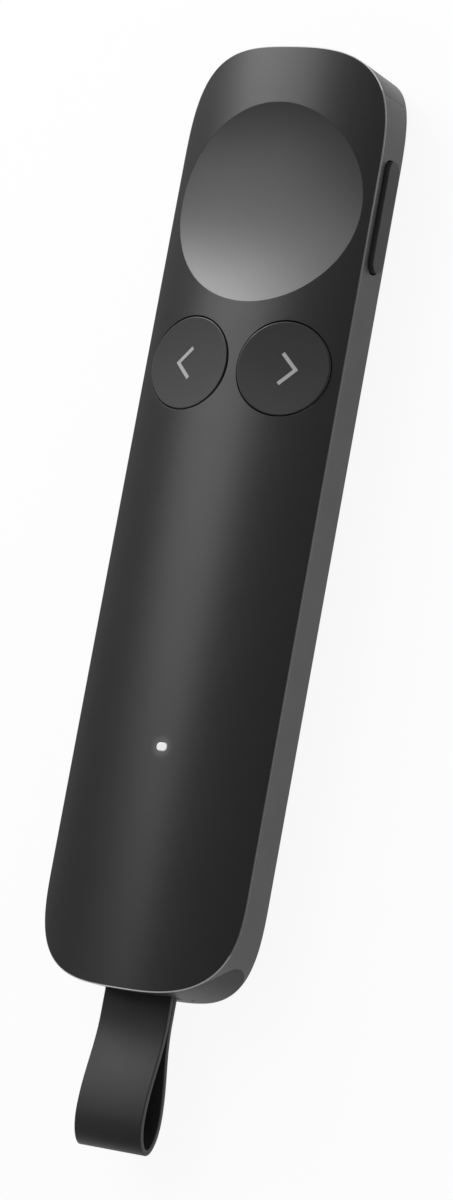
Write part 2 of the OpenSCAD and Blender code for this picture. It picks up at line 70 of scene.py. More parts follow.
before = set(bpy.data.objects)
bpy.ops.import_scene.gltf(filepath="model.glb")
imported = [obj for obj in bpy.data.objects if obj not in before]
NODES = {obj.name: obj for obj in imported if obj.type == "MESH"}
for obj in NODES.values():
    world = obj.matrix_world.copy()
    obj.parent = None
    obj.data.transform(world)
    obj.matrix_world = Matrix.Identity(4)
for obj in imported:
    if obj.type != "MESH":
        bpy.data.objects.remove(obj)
CAD_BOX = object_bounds()

MM = 0.001  # sizes are in millimetres, apart from settings and those said to be in metres


class Box:
    """A node's box in millimetres: its lowest and highest corners, its middle and its size."""

    def __init__(self, name):
        low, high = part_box(name)
        self.low, self.high = np.array(low) / MM, np.array(high) / MM
        self.mid = (self.low + self.high) / 2
        self.size = self.high - self.low


COVER = Box("front_cover")
POINTER = Box("pointer_key")
NEXT = Box("next_key")
SIDE = Box("side_key")
CAP = Box("receiver_cap")
STRAP = Box("strap_loop")
PIN = Box("strap_pin")
LENS = Box("led_lens")

HALF_W, HALF_L, TOP_Z = COVER.high


# ---------------------------------------------------------------- settings


def number(label, text, value, low, high, **unit):
    """A setting that is a number."""
    return FloatProperty(name=label, description=text, default=value, min=low, max=high, **unit)


def length(label, text, value, low, high):
    """A setting that is a length, in metres."""
    return number(label, text, value, low, high, unit="LENGTH", precision=5)


def power(label, text, value):
    """A setting that is a lamp's power, in watts."""
    return number(label, text, value, 0.0, 100.0, unit="POWER")


def tint(label, text, value):
    """A setting that is a colour."""
    return FloatVectorProperty(name=label, description=text, default=value, min=0.0, max=1.0,
                               size=3, subtype="COLOR")


class ClickerBody(bpy.types.PropertyGroup):
    """Sizes of the body's shells"""

    front_crown: length(
        "Front crown", "Rise of the front face over the side walls", 0.0029, 0.001, 0.005)
    back_crown: length(
        "Back crown", "Rise of the back face before its land is cut flat", 0.00465, 0.003, 0.007)
    land_w: length("Land", "Width of the flat land on the back", 0.012, 0.005, 0.02)
    nose_curve: length(
        "Nose curve", "Length of the curve that ends the nose", 0.0168, 0.01, 0.03)
    nose_square: number(
        "Nose squareness", "Exponent of the nose's curve, where 2 is an ellipse", 3.45, 2.0, 6.0)
    tail_curve: length(
        "Tail curve", "Length of the curve that ends the tail", 0.0145, 0.01, 0.03)
    tail_square: number(
        "Tail squareness", "Exponent of the tail's curve, where 2 is an ellipse", 3.05, 2.0, 6.0)
    edge_t: length(
        "Edge", "Thickness of a cover where it lies on the band", 0.00022, 0.0001, 0.001)
    edge_r: length(
        "Edge chamfer", "Width of the chamfer on the covers' outer edges",
        0.00014, 0.00005, 0.0005)
    cover_t: length("Cover", "Thickness of the covers inside the band", 0.001, 0.0006, 0.002)
    band_t: length("Band", "Thickness of the side band", 0.001, 0.0005, 0.002)


class ClickerKeys(bpy.types.PropertyGroup):
    """Sizes of the keys and the status light"""

    round_r: length("Round key radius", "Radius of the back and next keys", 0.00627, 0.004, 0.007)
    round_sink: length(
        "Round key depth", "Depth of a round key's middle under the front face",
        0.00026, 0.0, 0.0006)
    round_dish: length(
        "Round key dish", "Rise of a round key's face from its middle to its ends",
        0.0002, 0.0, 0.0006)
    round_gap: length("Round key gap", "Gap round the back and next keys", 0.00013, 0.0, 0.0003)
    round_edge: length(
        "Round key edge", "Edge radius of the back and next keys", 0.00017, 0.00002, 0.0005)
    side_edge: length("Side key edge", "Edge radius of the side key", 0.0001, 0.00005, 0.0006)
    scoop_crown: number(
        "Scoop crown", "Share of the front crown left across the pointer key's scoop",
        0.3, 0.0, 0.6)
    mark_reach: length(
        "Arrow reach", "Half the height of the arrow on a round key", 0.00203, 0.0005, 0.004)
    mark_out: length(
        "Arrow offset", "Distance of the arrow's middle outwards from the key's",
        0.0007, -0.002, 0.002)
    mark_w: length("Arrow stroke", "Width of the arrow's stroke", 0.00049, 0.0001, 0.001)


class ClickerStrap(bpy.types.PropertyGroup):
    """Sizes of the strap"""

    band_t: length("Band", "Thickness of the strap's band", 0.00078, 0.0003, 0.002)
    neck: length(
        "Neck", "Length over which the band's two layers lie together", 0.0032, 0.0, 0.01)
    bulge: length("Bulge", "Length of the round end of the loop", 0.0046, 0.001, 0.01)
    edge_r: length("Edge radius", "Radius of the band's long edges", 0.00016, 0.00002, 0.0004)


class ClickerFinish(bpy.types.PropertyGroup):
    """Colours of the visible pieces"""

    cover: tint("Covers", "Colour of the front and back covers", (0.022, 0.022, 0.023))
    # the covers' edge colour is light partly as a painted highlight
    cover_edge: tint(
        "Cover edges", "Colour of the covers' polished outer edges", (0.6, 0.6, 0.6))
    pointer: tint("Pointer key", "Colour of the scooped pointer key", (0.022, 0.022, 0.023))
    keys: tint("Round keys", "Colour of the back and next keys", (0.019, 0.019, 0.02))
    band: tint("Band", "Colour of the side band", (0.046, 0.046, 0.047))
    # the seams' edges are given a lighter colour as a painted highlight
    band_edge: tint(
        "Band edges", "Colour of the polished edges beside the inserts", (0.2, 0.2, 0.2))
    strap: tint("Strap", "Colour of the strap", (0.022, 0.022, 0.023))
    mark: tint("Arrows", "Colour of the arrows on the round keys", (0.36, 0.36, 0.36))


class ClickerStage(bpy.types.PropertyGroup):
    """The floor, lamps and camera"""

    key_power: power("Key lamp", "Power of the lamp beyond the nose's left corner", 1.3)
    top_power: power("Top lamp", "Power of the large lamp high on the left side", 1.2)
    near_power: power("Near lamp", "Power of the small lamp near the nose", 0.12)
    nose_power: power("Nose lamp", "Power of the lamp high over the nose", 0.4)
    fill: number("Fill", "Level of the room's light on matt surfaces", 0.41, 0.0, 2.0)
    ceiling: number("Ceiling", "Level of the room's ceiling in reflections", 0.08, 0.0, 1.0)
    focal: number("Focal length", "Focal length for a frame 24 mm high", 75.85, 10.0, 300.0)


SETTINGS = {
    "clicker_body": ClickerBody,
    "clicker_keys": ClickerKeys,
    "clicker_strap": ClickerStrap,
    "clicker_finish": ClickerFinish,
    "clicker_stage": ClickerStage,
}


def body_mm(name):
    """A size of the body in millimetres."""
    return getattr(bpy.context.scene.clicker_body, name) / MM


def key_mm(name):
    """A size of the keys in millimetres."""
    return getattr(bpy.context.scene.clicker_keys, name) / MM


def strap_mm(name):
    """A size of the strap in millimetres."""
    return getattr(bpy.context.scene.clicker_strap, name) / MM


def colour(name, share=1.0):
    """A finish colour, or a share of it."""
    return tuple(share * c for c in getattr(bpy.context.scene.clicker_finish, name))


# ---------------------------------------------------------------- body form


def arc_radius(half_chord, sagitta):
    """Radius of the arc that rises by sagitta over twice half_chord."""
    return (half_chord ** 2 + sagitta ** 2) / (2 * sagitta)


def front_z(x):
    """Height of the front face at distance x from the centre line."""
    r = arc_radius(HALF_W, body_mm("front_crown"))
    return TOP_Z - r + np.sqrt(r * r - np.minimum(np.abs(x), r) ** 2)


LAND_BLEND = 0.2  # softness of the change from the land to the crown of the back
OUTLINE_STEP = 0.45  # distance between the points of the body's plan
QUARTER_POINTS = 6000  # points of a quarter of the plan before they are spaced evenly


def back_z(x):
    """Height of the back face: an arc whose middle is cut to a flat land, with a soft change."""
    r = arc_radius(HALF_W, body_mm("back_crown"))
    half_land = body_mm("land_w") / 2
    land = sqrt(r * r - half_land ** 2)
    arc = land - np.sqrt(r * r - np.minimum(np.abs(x), r) ** 2)
    return (arc + np.sqrt(arc * arc + LAND_BLEND ** 2)) / 2


def quarter_end(reach, square):
    """A quarter of a superellipse, from the side to the middle of an end. Its points crowd where
    it leaves the straight side."""
    t = np.linspace(0.0, 1.0, QUARTER_POINTS) ** 1.5 * pi / 2
    return np.stack([
        HALF_W * np.cos(t) ** (2 / square),
        HALF_L - reach + reach * np.sin(t) ** (2 / square),
    ], axis=1)


def body_outline():
    """The body's plan from the middle of its left side, counter-clockwise: points, outward normals
    and distances along it, evenly spaced."""
    body = bpy.context.scene.clicker_body
    nose = quarter_end(body_mm("nose_curve"), body.nose_square)
    tail = quarter_end(body_mm("tail_curve"), body.tail_square) * [1, -1]
    left = [[-HALF_W, 0.0]]
    dense = np.concatenate([
        left, tail * [-1, 1], tail[::-1][1:], nose, (nose * [-1, 1])[::-1][1:], left])
    along = np.concatenate([[0.0], np.cumsum(np.hypot(*np.diff(dense, axis=0).T))])
    total = along[-1]
    count = int(round(total / OUTLINE_STEP))
    s = np.arange(count) * total / count
    points = np.stack([np.interp(s, along, dense[:, k]) for k in (0, 1)], axis=1)
    ahead = np.roll(points, -1, axis=0) - np.roll(points, 1, axis=0)
    ahead /= np.linalg.norm(ahead, axis=1)[:, None]
    normals = np.stack([ahead[:, 1], -ahead[:, 0]], axis=1)
    return points, normals, s, total


# ---------------------------------------------------------------- mesh making


WELD = 2e-6  # distance in metres under which vertices become one
SHARP_ANGLE = 35.0  # degrees between faces over which an edge is sharp
NORMAL_REACH = 0.2  # distance over which a surface's slope is measured
ROW_PITCH = 0.87  # spacing of a triangle grid's rows, as a share of its step
LOOP_CLEARANCE = 0.45  # distance of a grid's points from the loops, as a share of its step
RIM_WEAR = 1.0  # wear of the covers' outer edge
SIDE_WEAR = 0.4  # of their side below it
LIP_WEAR = 0.8  # of the other edges


class Shell:
    """Vertices and faces of one piece in millimetres, gathered ring by ring."""

    def __init__(self):
        self.points = []
        self.faces = []
        self.edge = []
        self.slots = {}
        self.exact = {}

    def ring(self, points, worn=0.0):
        """Adds points and returns their numbers. worn marks them for edge wear."""
        first = len(self.points)
        self.points.extend(tuple(p) for p in points)
        self.edge.extend([worn] * len(points))
        return list(range(first, len(self.points)))

    def laid(self, flat, place, worn=0.0):
        """Adds a ring of flat points, which place turns into solid ones."""
        return self.ring([place(p) for p in flat], worn)

    def over_edge(self, loop, radius, place, way):
        """Adds rings over the round edge of a loop. place takes a depth and gives the function that
        places a flat point there, and way is -1 where the face lies inside the loop and 1 where it
        lies round it."""
        return [self.laid(grown(loop, way * inset), place(drop), LIP_WEAR)
                for inset, drop in lip(radius)]

    def bridge(self, rings, flip=False):
        """Joins each closed ring to the next with quads. All have the same length."""
        for a, b in zip(rings, rings[1:]):
            if flip:
                a, b = b, a
            n = len(a)
            for i in range(n):
                k = (i + 1) % n
                self.faces.append((a[i], a[k], b[k], b[i]))

    def paint(self, first, slot):
        """Gives the faces made since first another material slot."""
        self.slots.update({i: slot for i in range(first, len(self.faces))})

    def fill(self, flat_loops, loops, place, step, flip=False):
        """Fills the space inside the first closed loop and outside the others with triangles.
        flat_loops are the loops' flat coordinates, loops their points' numbers, and place turns a
        flat point into a solid one."""
        flat = np.concatenate(flat_loops)
        numbers = [i for loop in loops for i in loop]
        edges, first = [], 0
        for loop in flat_loops:
            n = len(loop)
            edges += [(first + i, first + (i + 1) % n) for i in range(n)]
            first += n
        low, high = flat.min(axis=0), flat.max(axis=0)
        rows = max(2, int(round((high[1] - low[1]) / (step * ROW_PITCH))))
        grid = []
        for r in range(1, rows):
            y = low[1] + (high[1] - low[1]) * r / rows
            xs = np.arange(low[0] + step * (0.5 if r % 2 else 1.0), high[0], step)
            grid.append(np.stack([xs, np.full(len(xs), y)], axis=1))
        grid = np.concatenate(grid)
        grid = grid[between_loops(grid, flat_loops)]
        near = np.array([np.min(np.sum((flat - g) ** 2, axis=1)) for g in grid])
        grid = grid[near > (LOOP_CLEARANCE * step) ** 2]
        numbers += self.laid(grid, place)
        corners = [Vector(p) for p in np.concatenate([flat, grid])]
        out = delaunay_2d_cdt(corners, edges, [], 0, 1e-7)
        flat_out = np.array([(v.x, v.y) for v in out[0]])
        origin = [numbers[o[0]] if o else None for o in out[3]]
        normals = face_normals(place, flat_out)
        tris = np.array(out[2])
        middle = flat_out[tris].mean(axis=1)
        for tri in tris[between_loops(middle, flat_loops)]:
            tri = tri[::-1] if flip else tri
            face = tuple(origin[i] for i in tri)
            if None in face:
                raise RuntimeError("a fill needed a vertex that no loop has")
            self.exact[len(self.faces)] = normals[tri]
            self.faces.append(face)

    def make(self, name, *finishes):
        """Turns the rings into a smooth Blender object at the origin, with even normals."""
        mesh = bpy.data.meshes.new(name)
        mesh.from_pydata([tuple(c * MM for c in p) for p in self.points], [], self.faces)
        for face, slot in self.slots.items():
            mesh.polygons[face].material_index = slot
        worn = mesh.attributes.new("edge_wear", "FLOAT", "POINT")
        worn.data.foreach_set("value", np.array(self.edge, np.float32))
        exact = mesh.attributes.new("exact_normal", "FLOAT_VECTOR", "CORNER")
        corners = np.zeros((len(mesh.loops), 3), np.float32)
        for face, normals in self.exact.items():
            start = mesh.polygons[face].loop_start
            corners[start:start + len(normals)] = normals
        exact.data.foreach_set("vector", corners.ravel())
        bm = bmesh.new()
        bm.from_mesh(mesh)
        bmesh.ops.remove_doubles(bm, verts=bm.verts, dist=WELD)
        bmesh.ops.recalc_face_normals(bm, faces=bm.faces)
        bm.to_mesh(mesh)
        bm.free()
        mesh.polygons.foreach_set("use_smooth", [True] * len(mesh.polygons))
        mesh.set_sharp_from_angle(angle=radians(SHARP_ANGLE))
        for finish in finishes:
            mesh.materials.append(made(finish))
        set_corner_normals(mesh)
        return placed(name, mesh)


def placed(name, data):
    """A new object of that data in the scene, at the origin."""
    obj = bpy.data.objects.new(name, data)
    bpy.context.scene.collection.objects.link(obj)
    return obj


def face_normals(place, flat):
    """Unit normals of the surface that place makes, at flat points."""
    out = []
    for u, v in flat:
        along = []
        for a, b in ((NORMAL_REACH, 0.0), (0.0, NORMAL_REACH)):
            along.append(np.subtract(place((u + a, v + b)), place((u - a, v - b))))
        normal = np.cross(*along)
        out.append(normal / max(np.linalg.norm(normal), 1e-9))
    return np.array(out)


def set_corner_normals(mesh):
    """Gives the filled faces their surface's own normals and leaves the rest automatic."""
    count = len(mesh.loops)
    exact = np.zeros(count * 3, np.float32)
    mesh.attributes["exact_normal"].data.foreach_get("vector", exact)
    exact = exact.reshape(count, 3)
    face = np.zeros(len(mesh.polygons) * 3, np.float32)
    mesh.polygons.foreach_get("normal", face)
    totals = np.zeros(len(mesh.polygons), np.int32)
    mesh.polygons.foreach_get("loop_total", totals)
    owner = np.repeat(face.reshape(-1, 3), totals, axis=0)
    turn = np.sign(np.einsum("ij,ij->i", exact, owner))
    mesh.normals_split_custom_set((exact * turn[:, None]).tolist())
    mesh.attributes.remove(mesh.attributes["exact_normal"])


def circle(cx, cy, r, count):
    """Points of a circle, counter-clockwise."""
    t = np.arange(count) * 2 * pi / count
    return np.stack([cx + r * np.cos(t), cy + r * np.sin(t)], axis=1)


def rounded_box(cx, cy, w, h, r, count, step):
    """Points of a rectangle with round corners, counter-clockwise: count points on each corner,
    and about one every step between them."""
    corners = [(1, -1, -90), (1, 1, 0), (-1, 1, 90), (-1, -1, 180)]
    out = []
    for sx, sy, start in corners:
        t = np.radians(start + np.linspace(0, 90, count))
        out.append(np.stack([
            cx + sx * (w / 2 - r) + r * np.cos(t), cy + sy * (h / 2 - r) + r * np.sin(t)], axis=1))
    loop = np.concatenate(out)
    full = []
    for a, b in zip(loop, np.roll(loop, -1, axis=0)):
        n = max(1, int(np.hypot(*(b - a)) / step))
        full += [a + (b - a) * i / n for i in range(n)]
    return spaced(np.array(full), 1e-6)


def spaced(loop, least):
    """A closed loop without the points that lie no further than least from the one before."""
    return loop[np.hypot(*(loop - np.roll(loop, 1, axis=0)).T) > least]


def grown(loop, by):
    """A counter-clockwise loop moved outwards by a distance."""
    ahead = np.roll(loop, -1, axis=0) - np.roll(loop, 1, axis=0)
    ahead /= np.linalg.norm(ahead, axis=1)[:, None]
    return loop + by * np.stack([ahead[:, 1], -ahead[:, 0]], axis=1)


def between_loops(points, loops):
    """Which points lie inside the first loop and outside the others."""
    keep = in_loop(points, loops[0])
    for other in loops[1:]:
        keep &= ~in_loop(points, other)
    return keep


def in_loop(points, loop):
    """Which points lie inside a closed loop, by counting crossings."""
    if not len(points):
        return np.zeros(0, bool)
    x, y = points[:, 0][:, None], points[:, 1][:, None]
    ax, ay = loop[:, 0][None], loop[:, 1][None]
    bx, by = np.roll(loop, -1, axis=0).T
    bx, by = bx[None], by[None]
    span = (ay > y) != (by > y)
    slope = np.where(by == ay, 1e-12, by - ay)
    crossing = span & (x < (bx - ax) * (y - ay) / slope + ax)
    return crossing.sum(axis=1) % 2 == 1


LIP_ANGLES = np.radians([0.0, 22.5, 45.0, 67.5, 90.0])  # steps over a round edge


def lip(radius):
    """Steps over a round edge: (distance from the edge, drop below the face) pairs."""
    return [(radius * (1 - sin(a)), radius * (1 - cos(a))) for a in LIP_ANGLES]


# ---------------------------------------------------------------- shaders


def socket(tree, name, kind, value=None, way="INPUT", low=None, high=None):
    """Adds a named socket to a node group."""
    added = tree.interface.new_socket(name=name, in_out=way, socket_type=kind)
    if value is not None:
        added.default_value = value
    if low is not None:
        added.min_value = low
    if high is not None:
        added.max_value = high


def feed(tree, target, inputs):
    """Sets a node's inputs by name or number, each to a value or to the output that feeds it."""
    for key, value in inputs.items():
        if isinstance(value, bpy.types.NodeSocket):
            tree.links.new(value, target.inputs[key])
        else:
            target.inputs[key].default_value = value


def node(tree, kind, inputs=None, **properties):
    """Adds a node with its properties and its inputs, which are given as for feed."""
    added = tree.nodes.new(kind)
    for key, value in properties.items():
        setattr(added, key, value)
    feed(tree, added, inputs or {})
    return added


def maths(tree, operation, *inputs, **properties):
    """The output of a Math node."""
    return node(tree, "ShaderNodeMath", dict(enumerate(inputs)), operation=operation,
                **properties).outputs[0]


def map_range(tree, value, source, target, **properties):
    """A value moved from one range to another: the output of a Map Range node."""
    inputs = {"Value": value, "From Min": source[0], "From Max": source[1], "To Min": target[0],
              "To Max": target[1]}
    return node(tree, "ShaderNodeMapRange", inputs, **properties).outputs["Result"]


def coordinates(tree, kind="Object"):
    """The output of a Texture Coordinate node."""
    return tree.nodes.new("ShaderNodeTexCoord").outputs[kind]


NOISE_SPREAD = (0.3, 0.7)  # the range that nearly all values of a noise lie in


def moulded_grain():
    """Fine moulded grain: a bump height, a roughness and a colour that vary slightly."""
    tree = bpy.data.node_groups.new("moulded_grain", "ShaderNodeTree")
    socket(tree, "Colour", "NodeSocketColor", (0.05, 0.05, 0.05, 1.0))
    socket(tree, "Roughness", "NodeSocketFloat", 0.4, low=0.0, high=1.0)
    socket(tree, "Grain per metre", "NodeSocketFloat", 6000.0)
    socket(tree, "Roughness change", "NodeSocketFloat", 0.05, low=0.0, high=1.0)
    socket(tree, "Tone change", "NodeSocketFloat", 0.06, low=0.0, high=1.0)
    socket(tree, "Wear", "NodeSocketFloat", 0.3, low=0.0, high=1.0)
    socket(tree, "Colour", "NodeSocketColor", way="OUTPUT")
    socket(tree, "Roughness", "NodeSocketFloat", way="OUTPUT")
    socket(tree, "Height", "NodeSocketFloat", way="OUTPUT")
    given = tree.nodes.new("NodeGroupInput").outputs
    place = coordinates(tree)

    def noise(scale, detail, roughness):
        inputs = {"Vector": place, "Scale": scale, "Detail": detail, "Roughness": roughness}
        return node(tree, "ShaderNodeTexNoise", inputs).outputs["Fac"]

    def swing(value):
        return map_range(tree, value, NOISE_SPREAD, (-1.0, 1.0))

    fine = noise(given["Grain per metre"], 2.0, 0.6)
    rough = maths(tree, "MULTIPLY_ADD", swing(noise(140.0, 3.0, 0.55)),
                  given["Roughness change"], given["Roughness"], use_clamp=True)
    tone = maths(tree, "MULTIPLY_ADD", swing(fine), given["Tone change"], 1.0)
    scuffs = map_range(tree, noise(900.0, 4.0, 0.7), (0.45, 0.62), (0.0, 1.0))
    worn = node(tree, "ShaderNodeAttribute", attribute_name="edge_wear").outputs["Fac"]
    wear = maths(tree, "MULTIPLY", maths(tree, "MULTIPLY", worn, scuffs), given["Wear"])
    scaled = node(tree, "ShaderNodeVectorMath",
                  {0: given["Colour"], "Scale": maths(tree, "ADD", tone, wear)},
                  operation="SCALE")
    node(tree, "NodeGroupOutput",
         {"Colour": scaled.outputs[0], "Roughness": rough, "Height": fine})
    return tree


def brushed_lines():
    """Brushed metal: fine lines along one axis as height and roughness."""
    tree = bpy.data.node_groups.new("brushed_lines", "ShaderNodeTree")
    socket(tree, "Roughness", "NodeSocketFloat", 0.3, low=0.0, high=1.0)
    socket(tree, "Across", "NodeSocketVector", (400.0, 9000.0, 9000.0))
    socket(tree, "Roughness", "NodeSocketFloat", way="OUTPUT")
    socket(tree, "Height", "NodeSocketFloat", way="OUTPUT")
    given = tree.nodes.new("NodeGroupInput").outputs
    stretch = node(tree, "ShaderNodeVectorMath", {0: coordinates(tree), 1: given["Across"]},
                   operation="MULTIPLY")
    lines = node(tree, "ShaderNodeTexNoise",
                 {"Vector": stretch.outputs[0], "Scale": 1.0, "Detail": 3.0}).outputs["Fac"]
    rough = maths(tree, "MULTIPLY_ADD", lines, 0.15, given["Roughness"])
    node(tree, "NodeGroupOutput", {"Roughness": rough, "Height": lines})
    return tree


def group_node(tree, maker, inputs):
    """The outputs of a node that holds a shared node group, which is made once."""
    shared = bpy.data.node_groups.get(maker.__name__) or maker()
    return node(tree, "ShaderNodeGroup", inputs, node_tree=shared).outputs


def principled(name, **constants):
    """A new material with its Principled shader's constant inputs set, its tree and its shader."""
    material = bpy.data.materials.new(name)
    material.use_nodes = True
    tree = material.node_tree
    shader = tree.nodes["Principled BSDF"]
    feed(tree, shader, {key.replace("_", " "): value for key, value in constants.items()})
    return material, tree, shader


def bump_from(tree, height, depth):
    """The normal of a surface with that height, with a real depth in millimetres."""
    return node(tree, "ShaderNodeBump",
                {"Strength": 1.0, "Distance": depth * MM, "Height": height}).outputs["Normal"]


def moulded(name, tone, roughness, grain=6500.0, depth=0.0008, change=0.03, speckle=0.05, wear=0.3,
            **constants):
    """A moulded or painted finish with fine grain."""
    material, tree, shader = principled(name, **constants)
    grainy = group_node(tree, moulded_grain, {
        "Colour": (*tone, 1.0), "Roughness": roughness, "Grain per metre": grain,
        "Roughness change": change, "Tone change": speckle, "Wear": wear})
    feed(tree, shader, {
        "Base Color": grainy["Colour"], "Roughness": grainy["Roughness"],
        "Normal": bump_from(tree, grainy["Height"], depth)})
    return material


def satin(name, tone, roughness, **constants):
    """A moulded finish with an even sheen and no wear."""
    return moulded(name, tone, roughness, change=0.012, wear=0.0, **constants)


def metal(name, tone, roughness, across=(400.0, 9000.0, 9000.0), depth=0.0006):
    """A brushed or rolled metal."""
    material, tree, shader = principled(name, Base_Color=(*tone, 1.0), Metallic=1.0)
    lines = group_node(tree, brushed_lines, {"Roughness": roughness, "Across": across})
    feed(tree, shader, {
        "Roughness": lines["Roughness"], "Normal": bump_from(tree, lines["Height"], depth)})
    return material


GLOW_REACH = (0.0005, 0.0019)  # distances in metres over which the lens's glow fades
GLOW_LEVEL = 0.045


def cover_plastic():
    """Satin graphite plastic of the covers, with the status light's faint glow round its lens."""
    material = satin("cover_plastic", colour("cover"), 0.305)
    tree = material.node_tree
    lens = (LENS.mid[0] * MM, LENS.mid[1] * MM, TOP_Z * MM)
    away = node(tree, "ShaderNodeVectorMath", {0: coordinates(tree), 1: lens},
                operation="DISTANCE").outputs["Value"]
    glow = map_range(tree, away, GLOW_REACH, (1.0, 0.0), interpolation_type="SMOOTHERSTEP")
    feed(tree, tree.nodes["Principled BSDF"],
         {"Emission Color": glow, "Emission Strength": GLOW_LEVEL})
    return material


# where along the body a painted highlight makes the covers' edge brighter, in metres, and its
# levels there
EDGE_HIGHLIGHT_NOSE = (0.03, 0.055), (0.6, 1.1)
EDGE_HIGHLIGHT_TAIL = (-0.054, -0.061), (0.6, 0.95)


def cover_edge():
    """The narrow light edge round both covers, partly a polished edge and partly a painted
    highlight, with more painted highlight round the nose and the tail.
    """
    material = satin("cover_edge", colour("cover_edge"), 0.31, Metallic=0.8)
    tree = material.node_tree
    base = tree.nodes["Principled BSDF"].inputs["Base Color"]
    along = node(tree, "ShaderNodeSeparateXYZ", {0: coordinates(tree)}).outputs["Y"]
    # painted highlight: the edge's colour is scaled up towards the nose and the tail
    level = maths(tree, "MAXIMUM", map_range(tree, along, *EDGE_HIGHLIGHT_NOSE),
                  map_range(tree, along, *EDGE_HIGHLIGHT_TAIL))
    scaled = node(tree, "ShaderNodeVectorMath",
                  {0: base.links[0].from_socket, "Scale": level}, operation="SCALE")
    tree.links.new(scaled.outputs[0], base)
    return material


def made(finish):
    """The material that a finish's function makes, made once."""
    return bpy.data.materials.get(finish.__name__) or finish()


def pointer_plastic():
    """Satin plastic of the scooped key."""
    return satin("pointer_plastic", colour("pointer"), 0.305)


def key_plastic():
    """Satin plastic of the round keys."""
    return satin("key_plastic", colour("keys"), 0.34)


def band_lacquer():
    """Satin lacquer of the side band."""
    return moulded("band_lacquer", colour("band"), 0.42, grain=7000.0, wear=0.4)


def band_edge():
    """The band's rounded edges beside its inserts, lighter than the lacquer: a painted highlight on
    the seams.
    """
    return satin("band_edge", colour("band_edge"), 0.32)


def window_plastic():
    """Dark satin plastic of the nose window."""
    return moulded("window_plastic", colour("band", 0.6), 0.36, wear=0.0, Specular_IOR_Level=0.33)


def cap_plastic():
    """Satin plastic of the receiver's cap."""
    return moulded("cap_plastic", colour("band", 0.9), 0.5, wear=0.0, Specular_IOR_Level=0.2)


def side_key_rubber():
    """Soft-touch finish of the side key."""
    return moulded("side_key_rubber", colour("band", 0.8), 0.5, wear=0.0, Specular_IOR_Level=0.3)


def strap_silicone():
    """Matt silicone of the strap."""
    return moulded("strap_silicone", colour("strap"), 0.5, grain=4500.0, depth=0.0015, wear=0.0)


def mark_ink():
    """Light grey ink of the arrows."""
    return moulded("mark_ink", colour("mark"), 0.5, grain=9000.0, depth=0.0003, wear=0.0)


def light_pipe():
    """Milky light pipe, lit white."""
    return moulded("light_pipe", (0.9, 0.9, 0.9), 0.25, wear=0.0,
                   Emission_Color=(1.0, 1.0, 1.0, 1.0), Emission_Strength=1.75)


# ---------------------------------------------------------------- covers

FACE_STEP = 1.0  # spacing of the mesh on an outer face
INNER_STEP = 1.6  # on an inner face
CURVED_STEP = 0.8  # where the wall turns tightly

COVER_SEAT = 0.05  # gap between the band and the step of a cover inside it

POINTER_CENTRE = (0.0, POINTER.mid[1])
POINTER_RADIUS = POINTER.size[0] / 2
POINTER_GAP = 0.004  # gap round the pointer key
POINTER_EDGE = 0.02

ROUND_X = NEXT.low[0] + NEXT.size[1] / 2  # the next key is tilted, and the back key mirrors it
ROUND_Y = NEXT.mid[1]
ROUND_HOLE_LIP = 0.04
ROUND_POINTS = 160

LENS_SIZE = (1.6, 1.15)
LENS_CORNER = 0.52
LENS_GAP = 0.06
LENS_HOLE_CORNER = 0.55
LENS_HOLE_LIP = 0.05


def make_cover(name, height, side, holes):
    """A crowned cover with a chamfered outer edge. height gives the face over the plan, side is 1
    for the front and -1 for the back, and holes are (loop, lip radius) pairs."""
    shell = Shell()
    points, normals, _, _ = body_outline()

    def place(drop):
        return lambda p: (p[0], p[1], float(height(p[0])) - side * drop)

    edge_r, edge_t, thick = body_mm("edge_r"), body_mm("edge_t"), body_mm("cover_t")
    rim = points - edge_r * normals
    seat = points - (body_mm("band_t") + COVER_SEAT) * normals
    rings = [
        shell.laid(rim, place(0.0), RIM_WEAR),
        shell.laid(points, place(edge_r), RIM_WEAR),
        shell.laid(points, place(edge_t), SIDE_WEAR),
        shell.laid(seat, place(edge_t)),
        shell.laid(seat, place(thick)),
    ]
    shell.bridge(rings[:2])
    # the outer chamfer takes the edge finish, which is partly a painted highlight
    shell.paint(0, 1)
    shell.bridge(rings[1:])
    top_flat, top_loops = [rim], [rings[0]]
    low_flat, low_loops = [seat], [rings[-1]]
    for loop, radius in holes:
        rings = shell.over_edge(loop, radius, place, 1)
        rings.append(shell.laid(loop, place(thick)))
        shell.bridge(rings, flip=True)
        top_flat.append(grown(loop, radius))
        top_loops.append(rings[0])
        low_flat.append(loop)
        low_loops.append(rings[-1])
    shell.fill(top_flat, top_loops, place(0.0), FACE_STEP, flip=side < 0)
    shell.fill(low_flat, low_loops, place(thick), INNER_STEP, flip=side > 0)
    return shell.make(name, cover_plastic, cover_edge)


def front_cover():
    """The key-side cover with its holes for the keys and the status light."""
    round_hole = key_mm("round_r") + key_mm("round_gap")
    holes = [(circle(*POINTER_CENTRE, POINTER_RADIUS + POINTER_GAP, ROUND_POINTS), POINTER_EDGE)]
    for x in (-ROUND_X, ROUND_X):
        holes.append((circle(x, ROUND_Y, round_hole, ROUND_POINTS), ROUND_HOLE_LIP))
    lens_hole = rounded_box(*LENS.mid[:2], *(size + LENS_GAP for size in LENS_SIZE),
                            LENS_HOLE_CORNER, 8, 0.3)
    holes.append((lens_hole, LENS_HOLE_LIP))
    piece = make_cover("front_cover_shell", front_z, 1, holes)
    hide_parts("front_cover")
    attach(piece, "housing")


def back_cover():
    """The back shell, plain all over."""
    piece = make_cover("back_cover_shell", back_z, -1, [])
    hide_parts("back_cover")
    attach(piece, "housing")


# ---------------------------------------------------------------- band, window and cap

